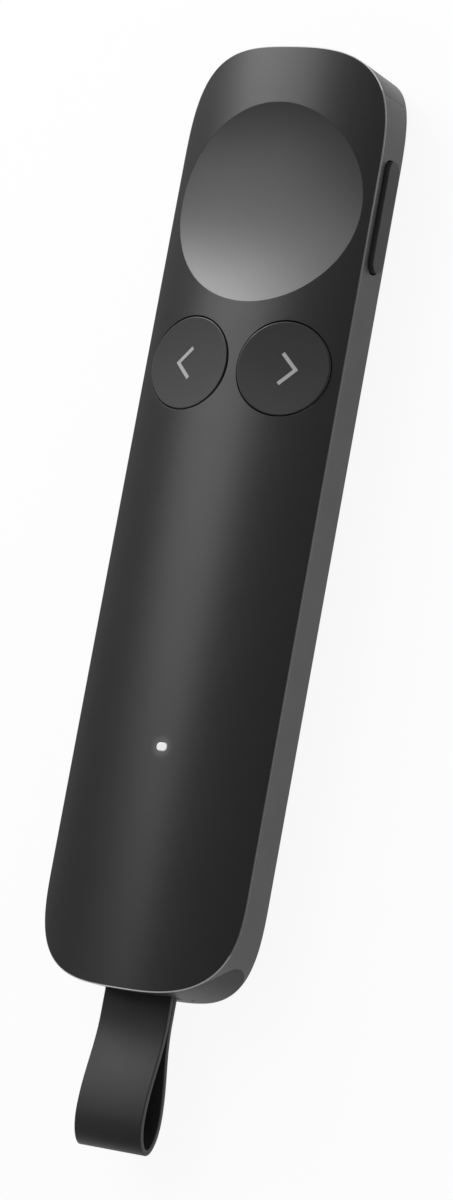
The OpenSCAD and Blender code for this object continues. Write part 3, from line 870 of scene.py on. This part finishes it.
STRIP = 0.12  # height of the band above and below its openings
SEAM = 0.012  # gap between pieces that meet
SEAM_LIP = 0.06  # edge radius on both sides of the seams in the wall
EDGE_LIP = 0.015  # radius of the band's long edges
BAND_END = 7  # points across the band where its flat form is cut open

WINDOW_LENGTH = 5.5
WINDOW_CORNER = 0.35
WINDOW_END = 14  # points on a short side of the window

CAP_Z = 5.95
CAP_HEIGHT = 10.6
CAP_CORNER = 5.0
CAP_ROOT = 0.6  # length of the straight walls at the cap's inner end
CAP_FLOOR = 1.4  # distance of its inner floor from that end
TAIL_LENGTH = 15.0  # length of the body's end on which the cap is laid out

MOUTH_REACH = 25.0  # degrees that the strap swings either way
MOUTH_ROOM = 0.14  # room above and below the strap in its mouth
MOUTH_SIDES = 0.4  # and at both its sides together
MOUTH_CORNER = 0.35
MOUTH_LIP = 0.15
MOUTH_DEPTH = 0.9  # depth of the mouth behind the pin's middle
MOUTH_TAPER = 0.6  # height of the mouth's inner end, as a share of its outer end's

PINHOLE = (6.1, 3.6, 0.2)  # x, z and radius
PINHOLE_LIP = 0.04
PINHOLE_DEPTH = 1.0

SIDE_FLANGE = 2.4  # how much longer the side key is inside the wall
SIDE_FACE = (SIDE.size[1] - SIDE_FLANGE, SIDE.size[2])
SLOT_ROOM = 0.3  # how much longer and higher its slot is
SLOT_LIP = 0.2


class Wall:
    """The body's side wall laid flat: distance along the outline and height."""

    def __init__(self):
        self.points, self.normals, self.s, self.total = body_outline()
        self.loop_s = np.append(self.s, self.total)
        self.loop_points = np.vstack([self.points, self.points[:1]])
        self.loop_normals = np.vstack([self.normals, self.normals[:1]])

    def plan(self, s, depth=0.0):
        """The plan point at distance s, moved inwards by depth."""
        s = np.mod(s, self.total)
        at = [np.interp(s, self.loop_s, self.loop_points[:, k]) for k in (0, 1)]
        out = [np.interp(s, self.loop_s, self.loop_normals[:, k]) for k in (0, 1)]
        return np.stack([at[0] - depth * out[0], at[1] - depth * out[1]], axis=-1)

    def upper(self, s, below=0.0):
        """Height of the front cover's lower edge at s, less a distance."""
        return front_z(self.plan(s)[..., 0]) - body_mm("edge_t") - SEAM - below

    def lower(self, s, above=0.0):
        """Height of the back cover's upper edge at s, plus a distance."""
        return back_z(self.plan(s)[..., 0]) + body_mm("edge_t") + SEAM + above

    def solid(self, depth):
        """A function that places a flat point on the wall at that depth."""
        def place(flat):
            x, y = self.plan(flat[0], depth)
            return (x, y, flat[1])
        return place

    def from_tail(self, loop):
        """A loop drawn across the tail, in x and z, laid flat with the wall."""
        part = self.points[:, 1] < TAIL_LENGTH - HALF_L
        xs, ss = self.points[part, 0], self.s[part]
        order = np.argsort(xs)
        return np.column_stack([np.interp(loop[:, 0], xs[order], ss[order]), loop[:, 1]])

    def window_loop(self):
        """Outline of the nose window, laid flat: a strip with round corners."""
        part = self.points[:, 1] > HALF_L - WINDOW_LENGTH
        start, end = self.s[part].min(), self.s[part].max()
        s = np.linspace(start, end, int((end - start) / OUTLINE_STEP))
        ease = np.clip(np.minimum(s - start, end - s) / WINDOW_CORNER, 0, 1)
        cut = WINDOW_CORNER * (1 - np.sqrt(1 - (1 - ease) ** 2))
        low, high = self.lower(s, STRIP) + cut, self.upper(s, STRIP) - cut
        right = np.linspace(low[-1], high[-1], WINDOW_END)[1:-1]
        left = np.linspace(high[0], low[0], WINDOW_END)[1:-1]
        return np.concatenate([
            np.column_stack([s, low]), np.column_stack([np.full(len(right), end), right]),
            np.column_stack([s, high])[::-1], np.column_stack([np.full(len(left), start), left])])

    def cap_loop(self):
        """Outline of the receiver's cap, laid flat."""
        s, z = self.from_tail(
            rounded_box(0.0, CAP_Z, CAP.size[0], CAP_HEIGHT, CAP_CORNER, 40, 0.4)).T
        z = np.clip(z, self.lower(s, STRIP), self.upper(s, STRIP))
        return spaced(np.column_stack([s, z]), 0.05)

    def side_key_middle(self):
        """The middle of the side key, laid flat."""
        right = self.points[:, 0] > HALF_W - 1e-4
        return float(np.interp(SIDE.mid[1], self.points[right, 1], self.s[right])), SIDE.mid[2]


def plate(shell, loop, edge, place, depth, step):
    """A plate in a flattened space with a round edge. place is as for over_edge."""
    rings = shell.over_edge(loop, edge, place, -1)
    rings.append(shell.laid(loop, place(depth)))
    shell.bridge(rings)
    shell.fill([grown(loop, -edge)], [rings[0]], place(0.0), step)
    shell.fill([loop], [rings[-1]], place(depth), step * 1.5)


def pill(cx, cy, width, height):
    """A pill-shaped loop that lies along its first axis, counter-clockwise."""
    r = height / 2
    straight = width / 2 - r
    t = np.linspace(-pi / 2, pi / 2, 28)
    end = np.stack([straight + r * np.cos(t), r * np.sin(t)], axis=1)
    run = np.linspace(straight, -straight, max(2, int(2 * straight / CURVED_STEP)))[1:-1]
    half = np.concatenate([end, np.stack([run, np.full(len(run), r)], axis=1)])
    return np.concatenate([half, -half]) + (cx, cy)


def side_band():
    """The band round the body, with its slot, its window seam and its room for the cap."""
    wall = Wall()
    shell = Shell()
    depth = body_mm("band_t")
    edges = []
    for line, inward in ((wall.upper, -1), (wall.lower, 1)):
        z = line(wall.s)
        rings = [
            shell.ring(np.column_stack([wall.plan(wall.s, drop), z + inward * inset]), LIP_WEAR)
            for inset, drop in lip(EDGE_LIP)]
        rings.append(shell.ring(np.column_stack([wall.plan(wall.s, depth), z])))
        shell.bridge(rings)
        edges.append(rings)
    upper_rings, lower_rings = edges
    slot = pill(*wall.side_key_middle(), *(size + SLOT_ROOM for size in SIDE_FACE))
    outer, inner = [], []
    for loop, radius in ((grown(wall.window_loop(), SEAM / 2), SEAM_LIP),
                         (grown(wall.cap_loop(), SEAM / 2), SEAM_LIP), (slot, SLOT_LIP)):
        rings = shell.over_edge(loop, radius, wall.solid, 1)
        rings.append(shell.laid(loop, wall.solid(depth)))
        first = len(shell.faces)
        shell.bridge(rings[:-1])
        # the seams' rounded lips take the lighter finish, a painted highlight
        if radius == SEAM_LIP:
            shell.paint(first, 1)
        shell.bridge(rings[-2:])
        outer.append((grown(loop, radius), rings[0]))
        inner.append((loop, rings[-1]))

    def face(inset, at, openings, row, step):
        """One face of the band. Its flat form is cut open at the middle of the left side."""
        place = wall.solid(at)
        low, high = wall.lower(0.0, inset), wall.upper(0.0, inset)
        levels = np.linspace(0, 1, BAND_END)[1:-1]
        (left, left_ring), (right, right_ring) = [
            (flat, shell.laid(flat, place)) for flat in (
                [(end, float(low + (high - low) * f)) for f in levels]
                for end in (0.0, wall.total))]
        s, start = np.append(wall.s, wall.total), np.append(wall.s, 0.0)
        lower = np.column_stack([s, wall.lower(start, inset)])
        upper = np.column_stack([s, wall.upper(start, inset)])
        lower_ring = lower_rings[row] + lower_rings[row][:1]
        upper_ring = upper_rings[row] + upper_rings[row][:1]
        outline = np.concatenate([lower, right, upper[::-1], left[::-1]])
        numbers = lower_ring + right_ring + upper_ring[::-1] + left_ring[::-1]
        flats, rings = zip(*openings)
        shell.fill([outline, *flats], [numbers, *rings], place, step)

    face(EDGE_LIP, 0.0, outer, 0, FACE_STEP)
    face(0.0, depth, inner, -1, INNER_STEP)
    piece = shell.make("side_band", band_lacquer, band_edge)
    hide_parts("mid_frame")
    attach(piece, "housing")


def nose_window():
    """The darker insert round the nose."""
    wall = Wall()
    shell = Shell()
    loop = grown(wall.window_loop(), -SEAM / 2)
    plate(shell, loop, SEAM_LIP, wall.solid, body_mm("band_t"), CURVED_STEP)
    piece = shell.make("nose_insert", window_plastic)
    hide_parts("nose_window")
    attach(piece, "housing")


def receiver_cap():
    """The tail insert: a curved face with the strap's mouth and a pinhole, and walls that run
    straight in along the body."""
    wall = Wall()
    shell = Shell()
    pin_y, strap_z, root_y = PIN.mid[1], STRAP.mid[2], CAP.high[1]
    flare = strap_mm("band_t") + MOUTH_ROOM + (pin_y + HALF_L) * tan(radians(MOUTH_REACH))
    loop = grown(wall.cap_loop(), -SEAM / 2)
    mouth = wall.from_tail(rounded_box(0.0, strap_z, STRAP.size[0] + MOUTH_SIDES, 2 * flare,
                                       MOUTH_CORNER, 6, 0.5))
    pinhole = wall.from_tail(circle(*PINHOLE, 24))
    face_flat, face_loops = [], []

    def from_face(edge, radius, way):
        """Rings over the round edge of one of the face's loops."""
        rings = shell.over_edge(edge, radius, wall.solid, way)
        face_flat.append(grown(edge, way * radius))
        face_loops.append(rings[0])
        return rings

    def on_wall(edge, inwards=0.0):
        """A flat loop's solid points, moved in along the body."""
        return np.column_stack([wall.plan(edge[:, 0]), edge[:, 1]]) + [0.0, inwards, 0.0]

    def close(end, ring, y, step):
        """Closes the end of a hole at that y."""
        shell.fill([end[:, [0, 2]]], [ring], lambda p: (p[0], y, p[1]), step)

    skirt = from_face(loop, SEAM_LIP, -1)
    for y in (root_y - CAP_ROOT, root_y):
        back = on_wall(loop)
        back[:, 1] = np.maximum(back[:, 1] + SEAM_LIP, y)
        skirt.append(shell.ring(back))
    outward = (back - [0.0, 0.0, CAP_Z]) * [1, 0, 1]
    outward /= np.linalg.norm(outward, axis=1)[:, None]
    floor = back - outward
    skirt.append(shell.ring(floor))
    floor[:, 1] = root_y - CAP_FLOOR
    skirt.append(shell.ring(floor))
    shell.bridge(skirt)

    throat = from_face(mouth, MOUTH_LIP, 1)
    end = on_wall(mouth)
    end[:, 1] = pin_y + MOUTH_DEPTH
    end[:, 2] = strap_z + (end[:, 2] - strap_z) * MOUTH_TAPER
    throat.append(shell.ring(end))
    close(end, throat[-1], pin_y + MOUTH_DEPTH, FACE_STEP)
    shell.bridge(throat)

    bore = from_face(pinhole, PINHOLE_LIP, 1)
    end = on_wall(pinhole, PINHOLE_DEPTH)
    bore.append(shell.ring(end))
    close(end, bore[-1], float(end[:, 1].mean()), FACE_STEP)
    shell.bridge(bore)

    shell.fill(face_flat, face_loops, wall.solid(0.0), CURVED_STEP)
    close(floor, skirt[-1], root_y - CAP_FLOOR, 1.5)
    piece = shell.make("receiver_tail_cap", cap_plastic)
    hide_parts("receiver_cap")
    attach(piece, "receiver")


# ---------------------------------------------------------------- keys

POINTER_FOOT = 0.2  # height of the pointer key's skirt over its node's lowest point
ROUND_FOOT = 8.9  # height of the round keys' lower edge
FOOT_STEP = 3.0  # spacing of the mesh on a key's lower end
SIDE_DEPTH = 2.0
LENS_SINK = 0.01  # depth of the lens's top under the crown of the face
LENS_EDGE = 0.12
LENS_DEPTH = 1.6
MARK_LEVELS = (-0.02, 0.012)  # foot and face of an arrow's stroke over the key's face


def disc_key(name, centre, radius, height, edge, foot, finish, step, count=ROUND_POINTS):
    """A round key whose face follows height(x, y), with a round edge and a skirt down to foot."""
    shell = Shell()
    loop = circle(*centre, radius, count)

    def place(drop):
        return lambda p: (p[0], p[1], float(height(p[0], p[1])) - drop)

    def on_foot(p):
        return (p[0], p[1], foot)

    rings = shell.over_edge(loop, edge, place, -1)
    rings.append(shell.laid(loop, on_foot))
    shell.bridge(rings)
    shell.fill([grown(loop, -edge)], [rings[0]], place(0.0), step)
    shell.fill([loop], [rings[-1]], on_foot, FOOT_STEP, flip=True)
    return shell.make(name, finish)


def scoop_height(x, y):
    """The pointer key's face: a saddle that meets the crown all round its edge."""
    r = arc_radius(HALF_W, body_mm("front_crown"))
    trough = TOP_Z - r + np.sqrt(r * r - POINTER_RADIUS ** 2 + (y - POINTER_CENTRE[1]) ** 2)
    share = bpy.context.scene.clicker_keys.scoop_crown
    return (1 - share) * trough + share * front_z(x)


def pointer_key():
    """The large key with its scooped face."""
    piece = disc_key("pointer_key_dish", POINTER_CENTRE, POINTER_RADIUS, scoop_height,
                     POINTER_EDGE, POINTER.low[2] + POINTER_FOOT, pointer_plastic, 0.9, 200)
    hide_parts("pointer_key")
    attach(piece, "pointer")


def round_face(side):
    """The height function of a round key's face on one side: level with the crown across the body
    and dished along it."""
    r = arc_radius(HALF_W, body_mm("front_crown"))
    slope = -side * ROUND_X / sqrt(r * r - ROUND_X * ROUND_X)
    middle = float(front_z(ROUND_X)) - key_mm("round_sink")
    dish, radius = key_mm("round_dish"), key_mm("round_r")

    def height(x, y):
        return middle + slope * (x - side * ROUND_X) + dish * ((y - ROUND_Y) / radius) ** 2
    return height


def arrow(side):
    """The printed arrow on a round key, as a thin raised stroke."""
    face = round_face(side)
    reach, half = key_mm("mark_reach"), key_mm("mark_w") / 2
    middle = side * (ROUND_X + key_mm("mark_out"))
    tip = np.array([middle + side * reach / 2, ROUND_Y])
    ends = [np.array([middle - side * reach / 2, ROUND_Y + k * reach]) for k in (1, -1)]
    outward = np.array([side, 0.0])
    across = []
    for end in ends:
        along = (end - tip) / np.linalg.norm(end - tip)
        turned = np.array([-along[1], along[0]])
        across.append(half * (turned if np.dot(turned, outward) > 0 else -turned))
    mitre = outward * half / abs(along[1])
    outline = np.array([
        ends[0] + across[0], tip + mitre, ends[1] + across[1],
        ends[1] - across[1], tip - mitre, ends[0] - across[0]])
    shell = Shell()
    rings = [shell.ring(np.column_stack([outline, face(*outline.T) + level]))
             for level in MARK_LEVELS]
    shell.bridge(rings)
    for ring in rings:
        shell.faces.append((ring[0], ring[1], ring[4], ring[5]))
        shell.faces.append((ring[1], ring[2], ring[3], ring[4]))
    body = "next" if side > 0 else "back"
    piece = shell.make(f"{body}_arrow", mark_ink)
    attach(piece, body)


def round_key(side):
    """The back key (-1) or the next key (1)."""
    body = "next" if side > 0 else "back"
    piece = disc_key(f"{body}_key_disc", (side * ROUND_X, ROUND_Y), key_mm("round_r"),
                     round_face(side), key_mm("round_edge"), ROUND_FOOT, key_plastic, FACE_STEP)
    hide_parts(f"{body}_key")
    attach(piece, body)
    arrow(side)


def side_key():
    """The pill-shaped key on the right wall."""
    shell = Shell()

    def place(depth):
        return lambda p: (SIDE.high[0] - depth, p[0], p[1])

    plate(shell, pill(*SIDE.mid[1:], *SIDE_FACE), key_mm("side_edge"), place, SIDE_DEPTH,
          CURVED_STEP)
    piece = shell.make("side_key_pill", side_key_rubber)
    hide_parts("side_key")
    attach(piece, "side")


def status_light():
    """The lens of the status light, with a soft edge."""
    shell = Shell()

    def place(depth):
        return lambda p: (p[0], p[1], TOP_Z - LENS_SINK - depth)

    loop = rounded_box(*LENS.mid[:2], *LENS_SIZE, LENS_CORNER, 8, 0.25)
    plate(shell, loop, LENS_EDGE, place, LENS_DEPTH, 0.3)
    piece = shell.make("status_light_lens", light_pipe)
    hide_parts("led_lens")
    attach(piece, "housing")


# ---------------------------------------------------------------- strap

LAYER_ROOM = 0.02  # room round each of the band's two layers
STRAP_RINGS = 240
STRAP_SHARP = 50  # degrees between the strap's faces over which an edge is sharp


def strap_sweep_tree():
    """Geometry nodes that sweep a flat band with round edges along a curve."""
    tree = bpy.data.node_groups.new("strap_sweep", "GeometryNodeTree")
    tree.is_modifier = True
    socket(tree, "Path", "NodeSocketGeometry")
    socket(tree, "Width", "NodeSocketFloat", 0.01)
    socket(tree, "Thickness", "NodeSocketFloat", 0.0008)
    socket(tree, "Edge radius", "NodeSocketFloat", 0.00015)
    socket(tree, "Rings", "NodeSocketInt", 220)
    socket(tree, "Material", "NodeSocketMaterial")
    socket(tree, "Band", "NodeSocketGeometry", way="OUTPUT")
    given = tree.nodes.new("NodeGroupInput").outputs

    def step(kind, inputs, **properties):
        return node(tree, f"GeometryNode{kind}", inputs, **properties).outputs[0]

    path = step("ResampleCurve", {"Curve": given["Path"], "Count": given["Rings"]})
    path = step("SetCurveNormal", {"Curve": path, "Normal": (1.0, 0.0, 0.0)}, mode="FREE")
    profile = step("CurvePrimitiveQuadrilateral",
                   {"Width": given["Width"], "Height": given["Thickness"]})
    profile = step("FilletCurve", {"Curve": profile, "Radius": given["Edge radius"], "Count": 4},
                   mode="POLY")
    band = step("CurveToMesh", {"Curve": path, "Profile Curve": profile, "Fill Caps": True})
    band = step("SetShadeSmooth", {"Geometry": band})
    band = step("RealizeInstances", {"Geometry": band})
    band = step("SetMaterial", {"Geometry": band, "Material": given["Material"]})
    node(tree, "NodeGroupOutput", {"Band": band})
    return tree


def through_nodes(obj, tree, name, inputs):
    """Runs an object through a geometry node tree and returns the result as a plain mesh object."""
    modifier = obj.modifiers.new("made", "NODES")
    modifier.node_group = tree
    identifiers = {item.name: item.identifier for item in tree.interface.items_tree
                   if item.item_type == "SOCKET" and item.in_out == "INPUT"}
    for key, value in inputs.items():
        modifier[identifiers[key]] = value
    bpy.context.view_layer.update()
    graph = bpy.context.evaluated_depsgraph_get()
    mesh = bpy.data.meshes.new_from_object(obj.evaluated_get(graph), depsgraph=graph)
    mesh.name = name
    obj.modifiers.remove(modifier)
    bpy.data.objects.remove(obj)
    return placed(name, mesh)


def loop_half(s, reach, half_height):
    """Half the loop's outer thickness at distance s past the tail."""
    thick = strap_mm("band_t") + LAYER_ROOM
    neck, bulge = strap_mm("neck"), strap_mm("bulge")
    belly = reach - bulge
    if s < neck:
        return thick
    if s < belly:
        return thick + (half_height - thick) * (1 - cos(pi * (s - neck) / (belly - neck))) / 2
    return half_height * sqrt(max(0.0, 1 - ((s - belly) / bulge) ** 2))


def strap_path():
    """The band's middle line: out along the front, round the end and back, in millimetres."""
    reach = -HALF_L - STRAP.low[1]
    belly = reach - strap_mm("bulge")
    stops = list(np.linspace(-HALF_L - PIN.mid[1], belly, 70))
    stops += [belly + strap_mm("bulge") * sin(a) for a in np.linspace(0, pi / 2, 40)[1:-1]]
    outer = [(s, loop_half(s, reach, STRAP.size[2] / 2)) for s in stops] + [(reach, 0.0)]
    outer += [(s, -h) for s, h in outer[-2::-1]]
    outer = np.array(outer)
    ahead = np.gradient(outer, axis=0)
    ahead /= np.linalg.norm(ahead, axis=1)[:, None]
    inward = np.stack([ahead[:, 1], -ahead[:, 0]], axis=1)
    middle = outer + inward * (strap_mm("band_t") + LAYER_ROOM) / 2
    return [(0.0, -HALF_L - s, STRAP.mid[2] + h) for s, h in middle]


def strap():
    """The silicone loop at the tail, swept as a band from just inside the tail round its end and
    back.
    """
    curve = bpy.data.curves.new("strap_path", "CURVE")
    curve.dimensions = "3D"
    line = curve.splines.new("POLY")
    path = strap_path()
    line.points.add(len(path) - 1)
    for point, at in zip(line.points, path):
        point.co = (*(c * MM for c in at), 1.0)
    piece = through_nodes(placed("strap_path", curve), strap_sweep_tree(), "strap_band", {
        "Width": STRAP.size[0] * MM, "Thickness": strap_mm("band_t") * MM,
        "Edge radius": strap_mm("edge_r") * MM, "Rings": STRAP_RINGS,
        "Material": made(strap_silicone)})
    piece.data.set_sharp_from_angle(angle=radians(STRAP_SHARP))
    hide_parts("strap_loop")
    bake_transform(piece)


# ---------------------------------------------------------------- inner parts


def paint_frame():
    """Finishes of the frame's own nodes, most of them inside the body."""
    steel = metal("stamped_steel", (0.56, 0.56, 0.57), 0.22)
    plug = metal("plug_steel", (0.62, 0.62, 0.63), 0.16, across=(9000.0, 500.0, 9000.0))
    black = moulded("inner_plastic", (0.02, 0.02, 0.021), 0.5, wear=0.0)
    board = moulded("solder_mask", (0.012, 0.07, 0.035), 0.3, grain=3000.0, speckle=0.15, wear=0.0)
    dark_board = moulded("dark_mask", (0.012, 0.013, 0.014), 0.3, grain=3000.0, wear=0.0)
    chip = moulded("chip_resin", (0.012, 0.012, 0.013), 0.55, wear=0.0)
    pale = moulded("pale_ceramic", (0.62, 0.58, 0.5), 0.4, wear=0.0)
    foil = metal("battery_foil", (0.5, 0.52, 0.55), 0.3, across=(2500.0, 900.0, 2500.0))
    foam = moulded("foam_tape", (0.06, 0.06, 0.06), 0.9, grain=2500.0, depth=0.01, wear=0.0)
    amber = moulded("amber_flex", (0.4, 0.14, 0.02), 0.25, grain=1800.0, wear=0.0)
    gold = metal("contact_gold", (0.85, 0.62, 0.25), 0.15, across=(9000.0, 600.0, 9000.0))
    finishes = {
        steel: ("radio_shield", "haptic_motor", "charge_port", "board_screws", "strap_pin"),
        plug: ("usb_plug",),
        black: ("receiver_bay", "receiver_base", "battery_tray", "charge_port_tongue"),
        board: ("main_board", "port_board"),
        dark_board: ("receiver_board",),
        chip: ("processor_chip", "motion_sensor"),
        pale: ("pointer_switch", "back_switch", "next_switch", "side_switch", "status_led",
               "antenna"),
        foil: ("battery",),
        foam: ("battery_pad",),
        amber: ("battery_flex", "port_flex"),
        gold: ("usb_contacts",),
    }
    for material, names in finishes.items():
        for name in names:
            slots = NODES[name].data.materials
            if len(slots):
                for i in range(len(slots)):
                    slots[i] = material
            else:
                slots.append(material)


# ---------------------------------------------------------------- stage


WHITE = (1.0, 1.0, 1.0, 1.0)
FLOOR_TONE = (0.9, 0.9, 0.9, 1.0)
FLOOR_GLOW = 0.92  # share of plain white that the camera sees in the floor
FLOOR_HALF = 4.0  # half the floor's width in metres
FLOOR_LEVEL = -2e-5  # height of the floor in metres, just under the object
CEILING_START = 0.35  # the room dims from the horizon up to this height of a direction

CAMERA_PLACE = (0.25011, -0.07923, 0.42475)
CAMERA_TURN = (-0.1847, -0.5203, -0.1390)  # an axis times an angle

# each lamp's name, place, size in metres and power setting
LAMPS = (
    ("key_lamp", (-0.337, 0.326, 0.263), 0.202, "key_power"),
    ("top_lamp", (-0.42, 0.23, 0.65), 0.4, "top_power"),
    ("near_lamp", (-0.156, 0.213, 0.228), 0.073, "near_power"),
    ("nose_lamp", (-0.161, 0.4, 0.552), 0.25, "nose_power"),
)


def background_ray(tree):
    """1 where a ray comes from the camera, a gloss or a glass, and 0 for other light."""
    ray = tree.nodes.new("ShaderNodeLightPath").outputs
    either = maths(tree, "MAXIMUM", ray["Is Camera Ray"], ray["Is Glossy Ray"])
    return maths(tree, "MAXIMUM", either, ray["Is Transmission Ray"])


def mixed(tree, share, first, second):
    """The output of a mix of two shader nodes."""
    return node(tree, "ShaderNodeMixShader",
                {"Fac": share, 1: first.outputs[0], 2: second.outputs[0]}).outputs[0]


def floor_material():
    """A pale floor that shows as white, with the object's shadow."""
    material = bpy.data.materials.new("floor_white")
    material.use_nodes = True
    tree = material.node_tree
    tree.nodes.clear()
    diffuse = node(tree, "ShaderNodeBsdfDiffuse", {"Color": FLOOR_TONE})
    white = node(tree, "ShaderNodeEmission", {"Color": WHITE, "Strength": 1.0})
    share = maths(tree, "MULTIPLY", background_ray(tree), FLOOR_GLOW)
    node(tree, "ShaderNodeOutputMaterial", {"Surface": mixed(tree, share, diffuse, white)})
    return material


def room_light():
    """The world: white behind the object and low in its reflections, with a dim ceiling over it and
    a plain level on matt surfaces."""
    levels = bpy.context.scene.clicker_stage
    world = bpy.data.worlds.new("room")
    world.use_nodes = True
    bpy.context.scene.world = world
    tree = world.node_tree
    tree.nodes.clear()
    height = node(tree, "ShaderNodeSeparateXYZ", {0: coordinates(tree, "Generated")}).outputs["Z"]
    room = map_range(tree, height, (0.0, CEILING_START), (1.0, levels.ceiling),
                     interpolation_type="SMOOTHSTEP")
    camera_ray = tree.nodes.new("ShaderNodeLightPath").outputs["Is Camera Ray"]
    white = node(tree, "ShaderNodeBackground",
                 {"Color": WHITE, "Strength": maths(tree, "MAXIMUM", room, camera_ray)})
    fill = node(tree, "ShaderNodeBackground", {"Color": WHITE, "Strength": levels.fill})
    surface = mixed(tree, background_ray(tree), fill, white)
    node(tree, "ShaderNodeOutputWorld", {"Surface": surface})


def lamp(name, at, size, watts):
    """A square area lamp that faces the origin."""
    data = bpy.data.lights.new(name, "AREA")
    data.shape = "RECTANGLE"
    data.size = data.size_y = size
    data.energy = watts
    obj = placed(name, data)
    obj.location = at
    obj.rotation_euler = (-Vector(at)).to_track_quat("-Z", "Y").to_euler()


def camera():
    """The camera, high over the object's right side and a little towards its tail."""
    data = bpy.data.cameras.new("camera")
    data.sensor_fit = "VERTICAL"
    data.sensor_height = 24.0
    data.lens = bpy.context.scene.clicker_stage.focal
    data.clip_start = 0.01
    obj = placed("camera", data)
    turn = Vector(CAMERA_TURN)
    rotation = Matrix.Rotation(turn.length, 4, turn.normalized()).transposed()
    obj.matrix_world = Matrix.Translation(CAMERA_PLACE) @ rotation
    bpy.context.scene.camera = obj


def stage():
    """The floor, the room's light and the lamps."""
    bpy.context.scene.view_settings.view_transform = "Standard"
    mesh = bpy.data.meshes.new("floor")
    corner = [(-1, -1), (1, -1), (1, 1), (-1, 1)]
    mesh.from_pydata([(x * FLOOR_HALF, y * FLOOR_HALF, FLOOR_LEVEL) for x, y in corner], [],
                     [(0, 1, 2, 3)])
    mesh.materials.append(floor_material())
    floor = placed("floor", mesh)
    floor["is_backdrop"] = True
    room_light()
    for name, at, size, setting in LAMPS:
        lamp(name, at, size, getattr(bpy.context.scene.clicker_stage, setting))


# ---------------------------------------------------------------- add-on


class CLICKER_OT_camera(bpy.types.Operator):
    """Adds the camera"""

    bl_idname = "clicker.camera"
    bl_label = "Camera"

    def execute(self, context):
        camera()
        return {"FINISHED"}


class CLICKER_OT_covers(bpy.types.Operator):
    """Adds the front and back covers"""

    bl_idname = "clicker.covers"
    bl_label = "Covers"

    def execute(self, context):
        front_cover()
        back_cover()
        return {"FINISHED"}


class CLICKER_OT_band(bpy.types.Operator):
    """Adds the side band and the nose window"""

    bl_idname = "clicker.band"
    bl_label = "Band and window"

    def execute(self, context):
        side_band()
        nose_window()
        return {"FINISHED"}


class CLICKER_OT_receiver(bpy.types.Operator):
    """Adds the receiver's cap"""

    bl_idname = "clicker.receiver"
    bl_label = "Receiver"

    def execute(self, context):
        receiver_cap()
        return {"FINISHED"}


class CLICKER_OT_keys(bpy.types.Operator):
    """Adds the pointer key, the round keys and the side key"""

    bl_idname = "clicker.keys"
    bl_label = "Keys"

    def execute(self, context):
        pointer_key()
        for side in (-1, 1):
            round_key(side)
        side_key()
        return {"FINISHED"}


class CLICKER_OT_light(bpy.types.Operator):
    """Adds the status light's lens"""

    bl_idname = "clicker.light"
    bl_label = "Status light"

    def execute(self, context):
        status_light()
        return {"FINISHED"}


class CLICKER_OT_strap(bpy.types.Operator):
    """Adds the strap"""

    bl_idname = "clicker.strap"
    bl_label = "Strap"

    def execute(self, context):
        strap()
        return {"FINISHED"}


class CLICKER_OT_inside(bpy.types.Operator):
    """Gives the frame's own parts their finishes"""

    bl_idname = "clicker.inside"
    bl_label = "Inner parts"

    def execute(self, context):
        paint_frame()
        return {"FINISHED"}


class CLICKER_OT_stage(bpy.types.Operator):
    """Adds the floor and the lights"""

    bl_idname = "clicker.stage"
    bl_label = "Stage"

    def execute(self, context):
        stage()
        return {"FINISHED"}


OPERATORS = (
    CLICKER_OT_camera, CLICKER_OT_covers, CLICKER_OT_band, CLICKER_OT_receiver, CLICKER_OT_keys,
    CLICKER_OT_light, CLICKER_OT_strap, CLICKER_OT_inside, CLICKER_OT_stage,
)


class CLICKER_PT_panel(bpy.types.Panel):
    """Sizes, colours and steps of the clicker"""

    bl_label = "Presentation clicker"
    bl_idname = "CLICKER_PT_panel"
    bl_space_type = "VIEW_3D"
    bl_region_type = "UI"
    bl_category = "Clicker"

    def draw(self, context):
        layout = self.layout
        for name, kind in SETTINGS.items():
            box = layout.box()
            box.label(text=kind.__doc__)
            for prop in kind.__annotations__:
                box.prop(getattr(context.scene, name), prop)
        for operator in OPERATORS:
            layout.operator(operator.bl_idname)


def register():
    """Registers the settings, the operators and the panel."""
    for name, kind in SETTINGS.items():
        bpy.utils.register_class(kind)
        setattr(bpy.types.Scene, name, PointerProperty(type=kind))
    for kind in (*OPERATORS, CLICKER_PT_panel):
        bpy.utils.register_class(kind)


def unregister():
    """Removes what register added."""
    for kind in (CLICKER_PT_panel, *reversed(OPERATORS)):
        bpy.utils.unregister_class(kind)
    for name, kind in reversed(SETTINGS.items()):
        delattr(bpy.types.Scene, name)
        bpy.utils.unregister_class(kind)


def corners(box):
    """A box as plain lists of numbers."""
    return [[float(c) for c in corner] for corner in box]


def main():
    """Builds everything in order and works out the two boxes."""
    register()
    for operator in OPERATORS:
        area, step = operator.bl_idname.split(".")
        getattr(getattr(bpy.ops, area), step)()
    {"cad": corners(CAD_BOX), "visual": corners(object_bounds())}


if __name__ == "__main__":
    main()
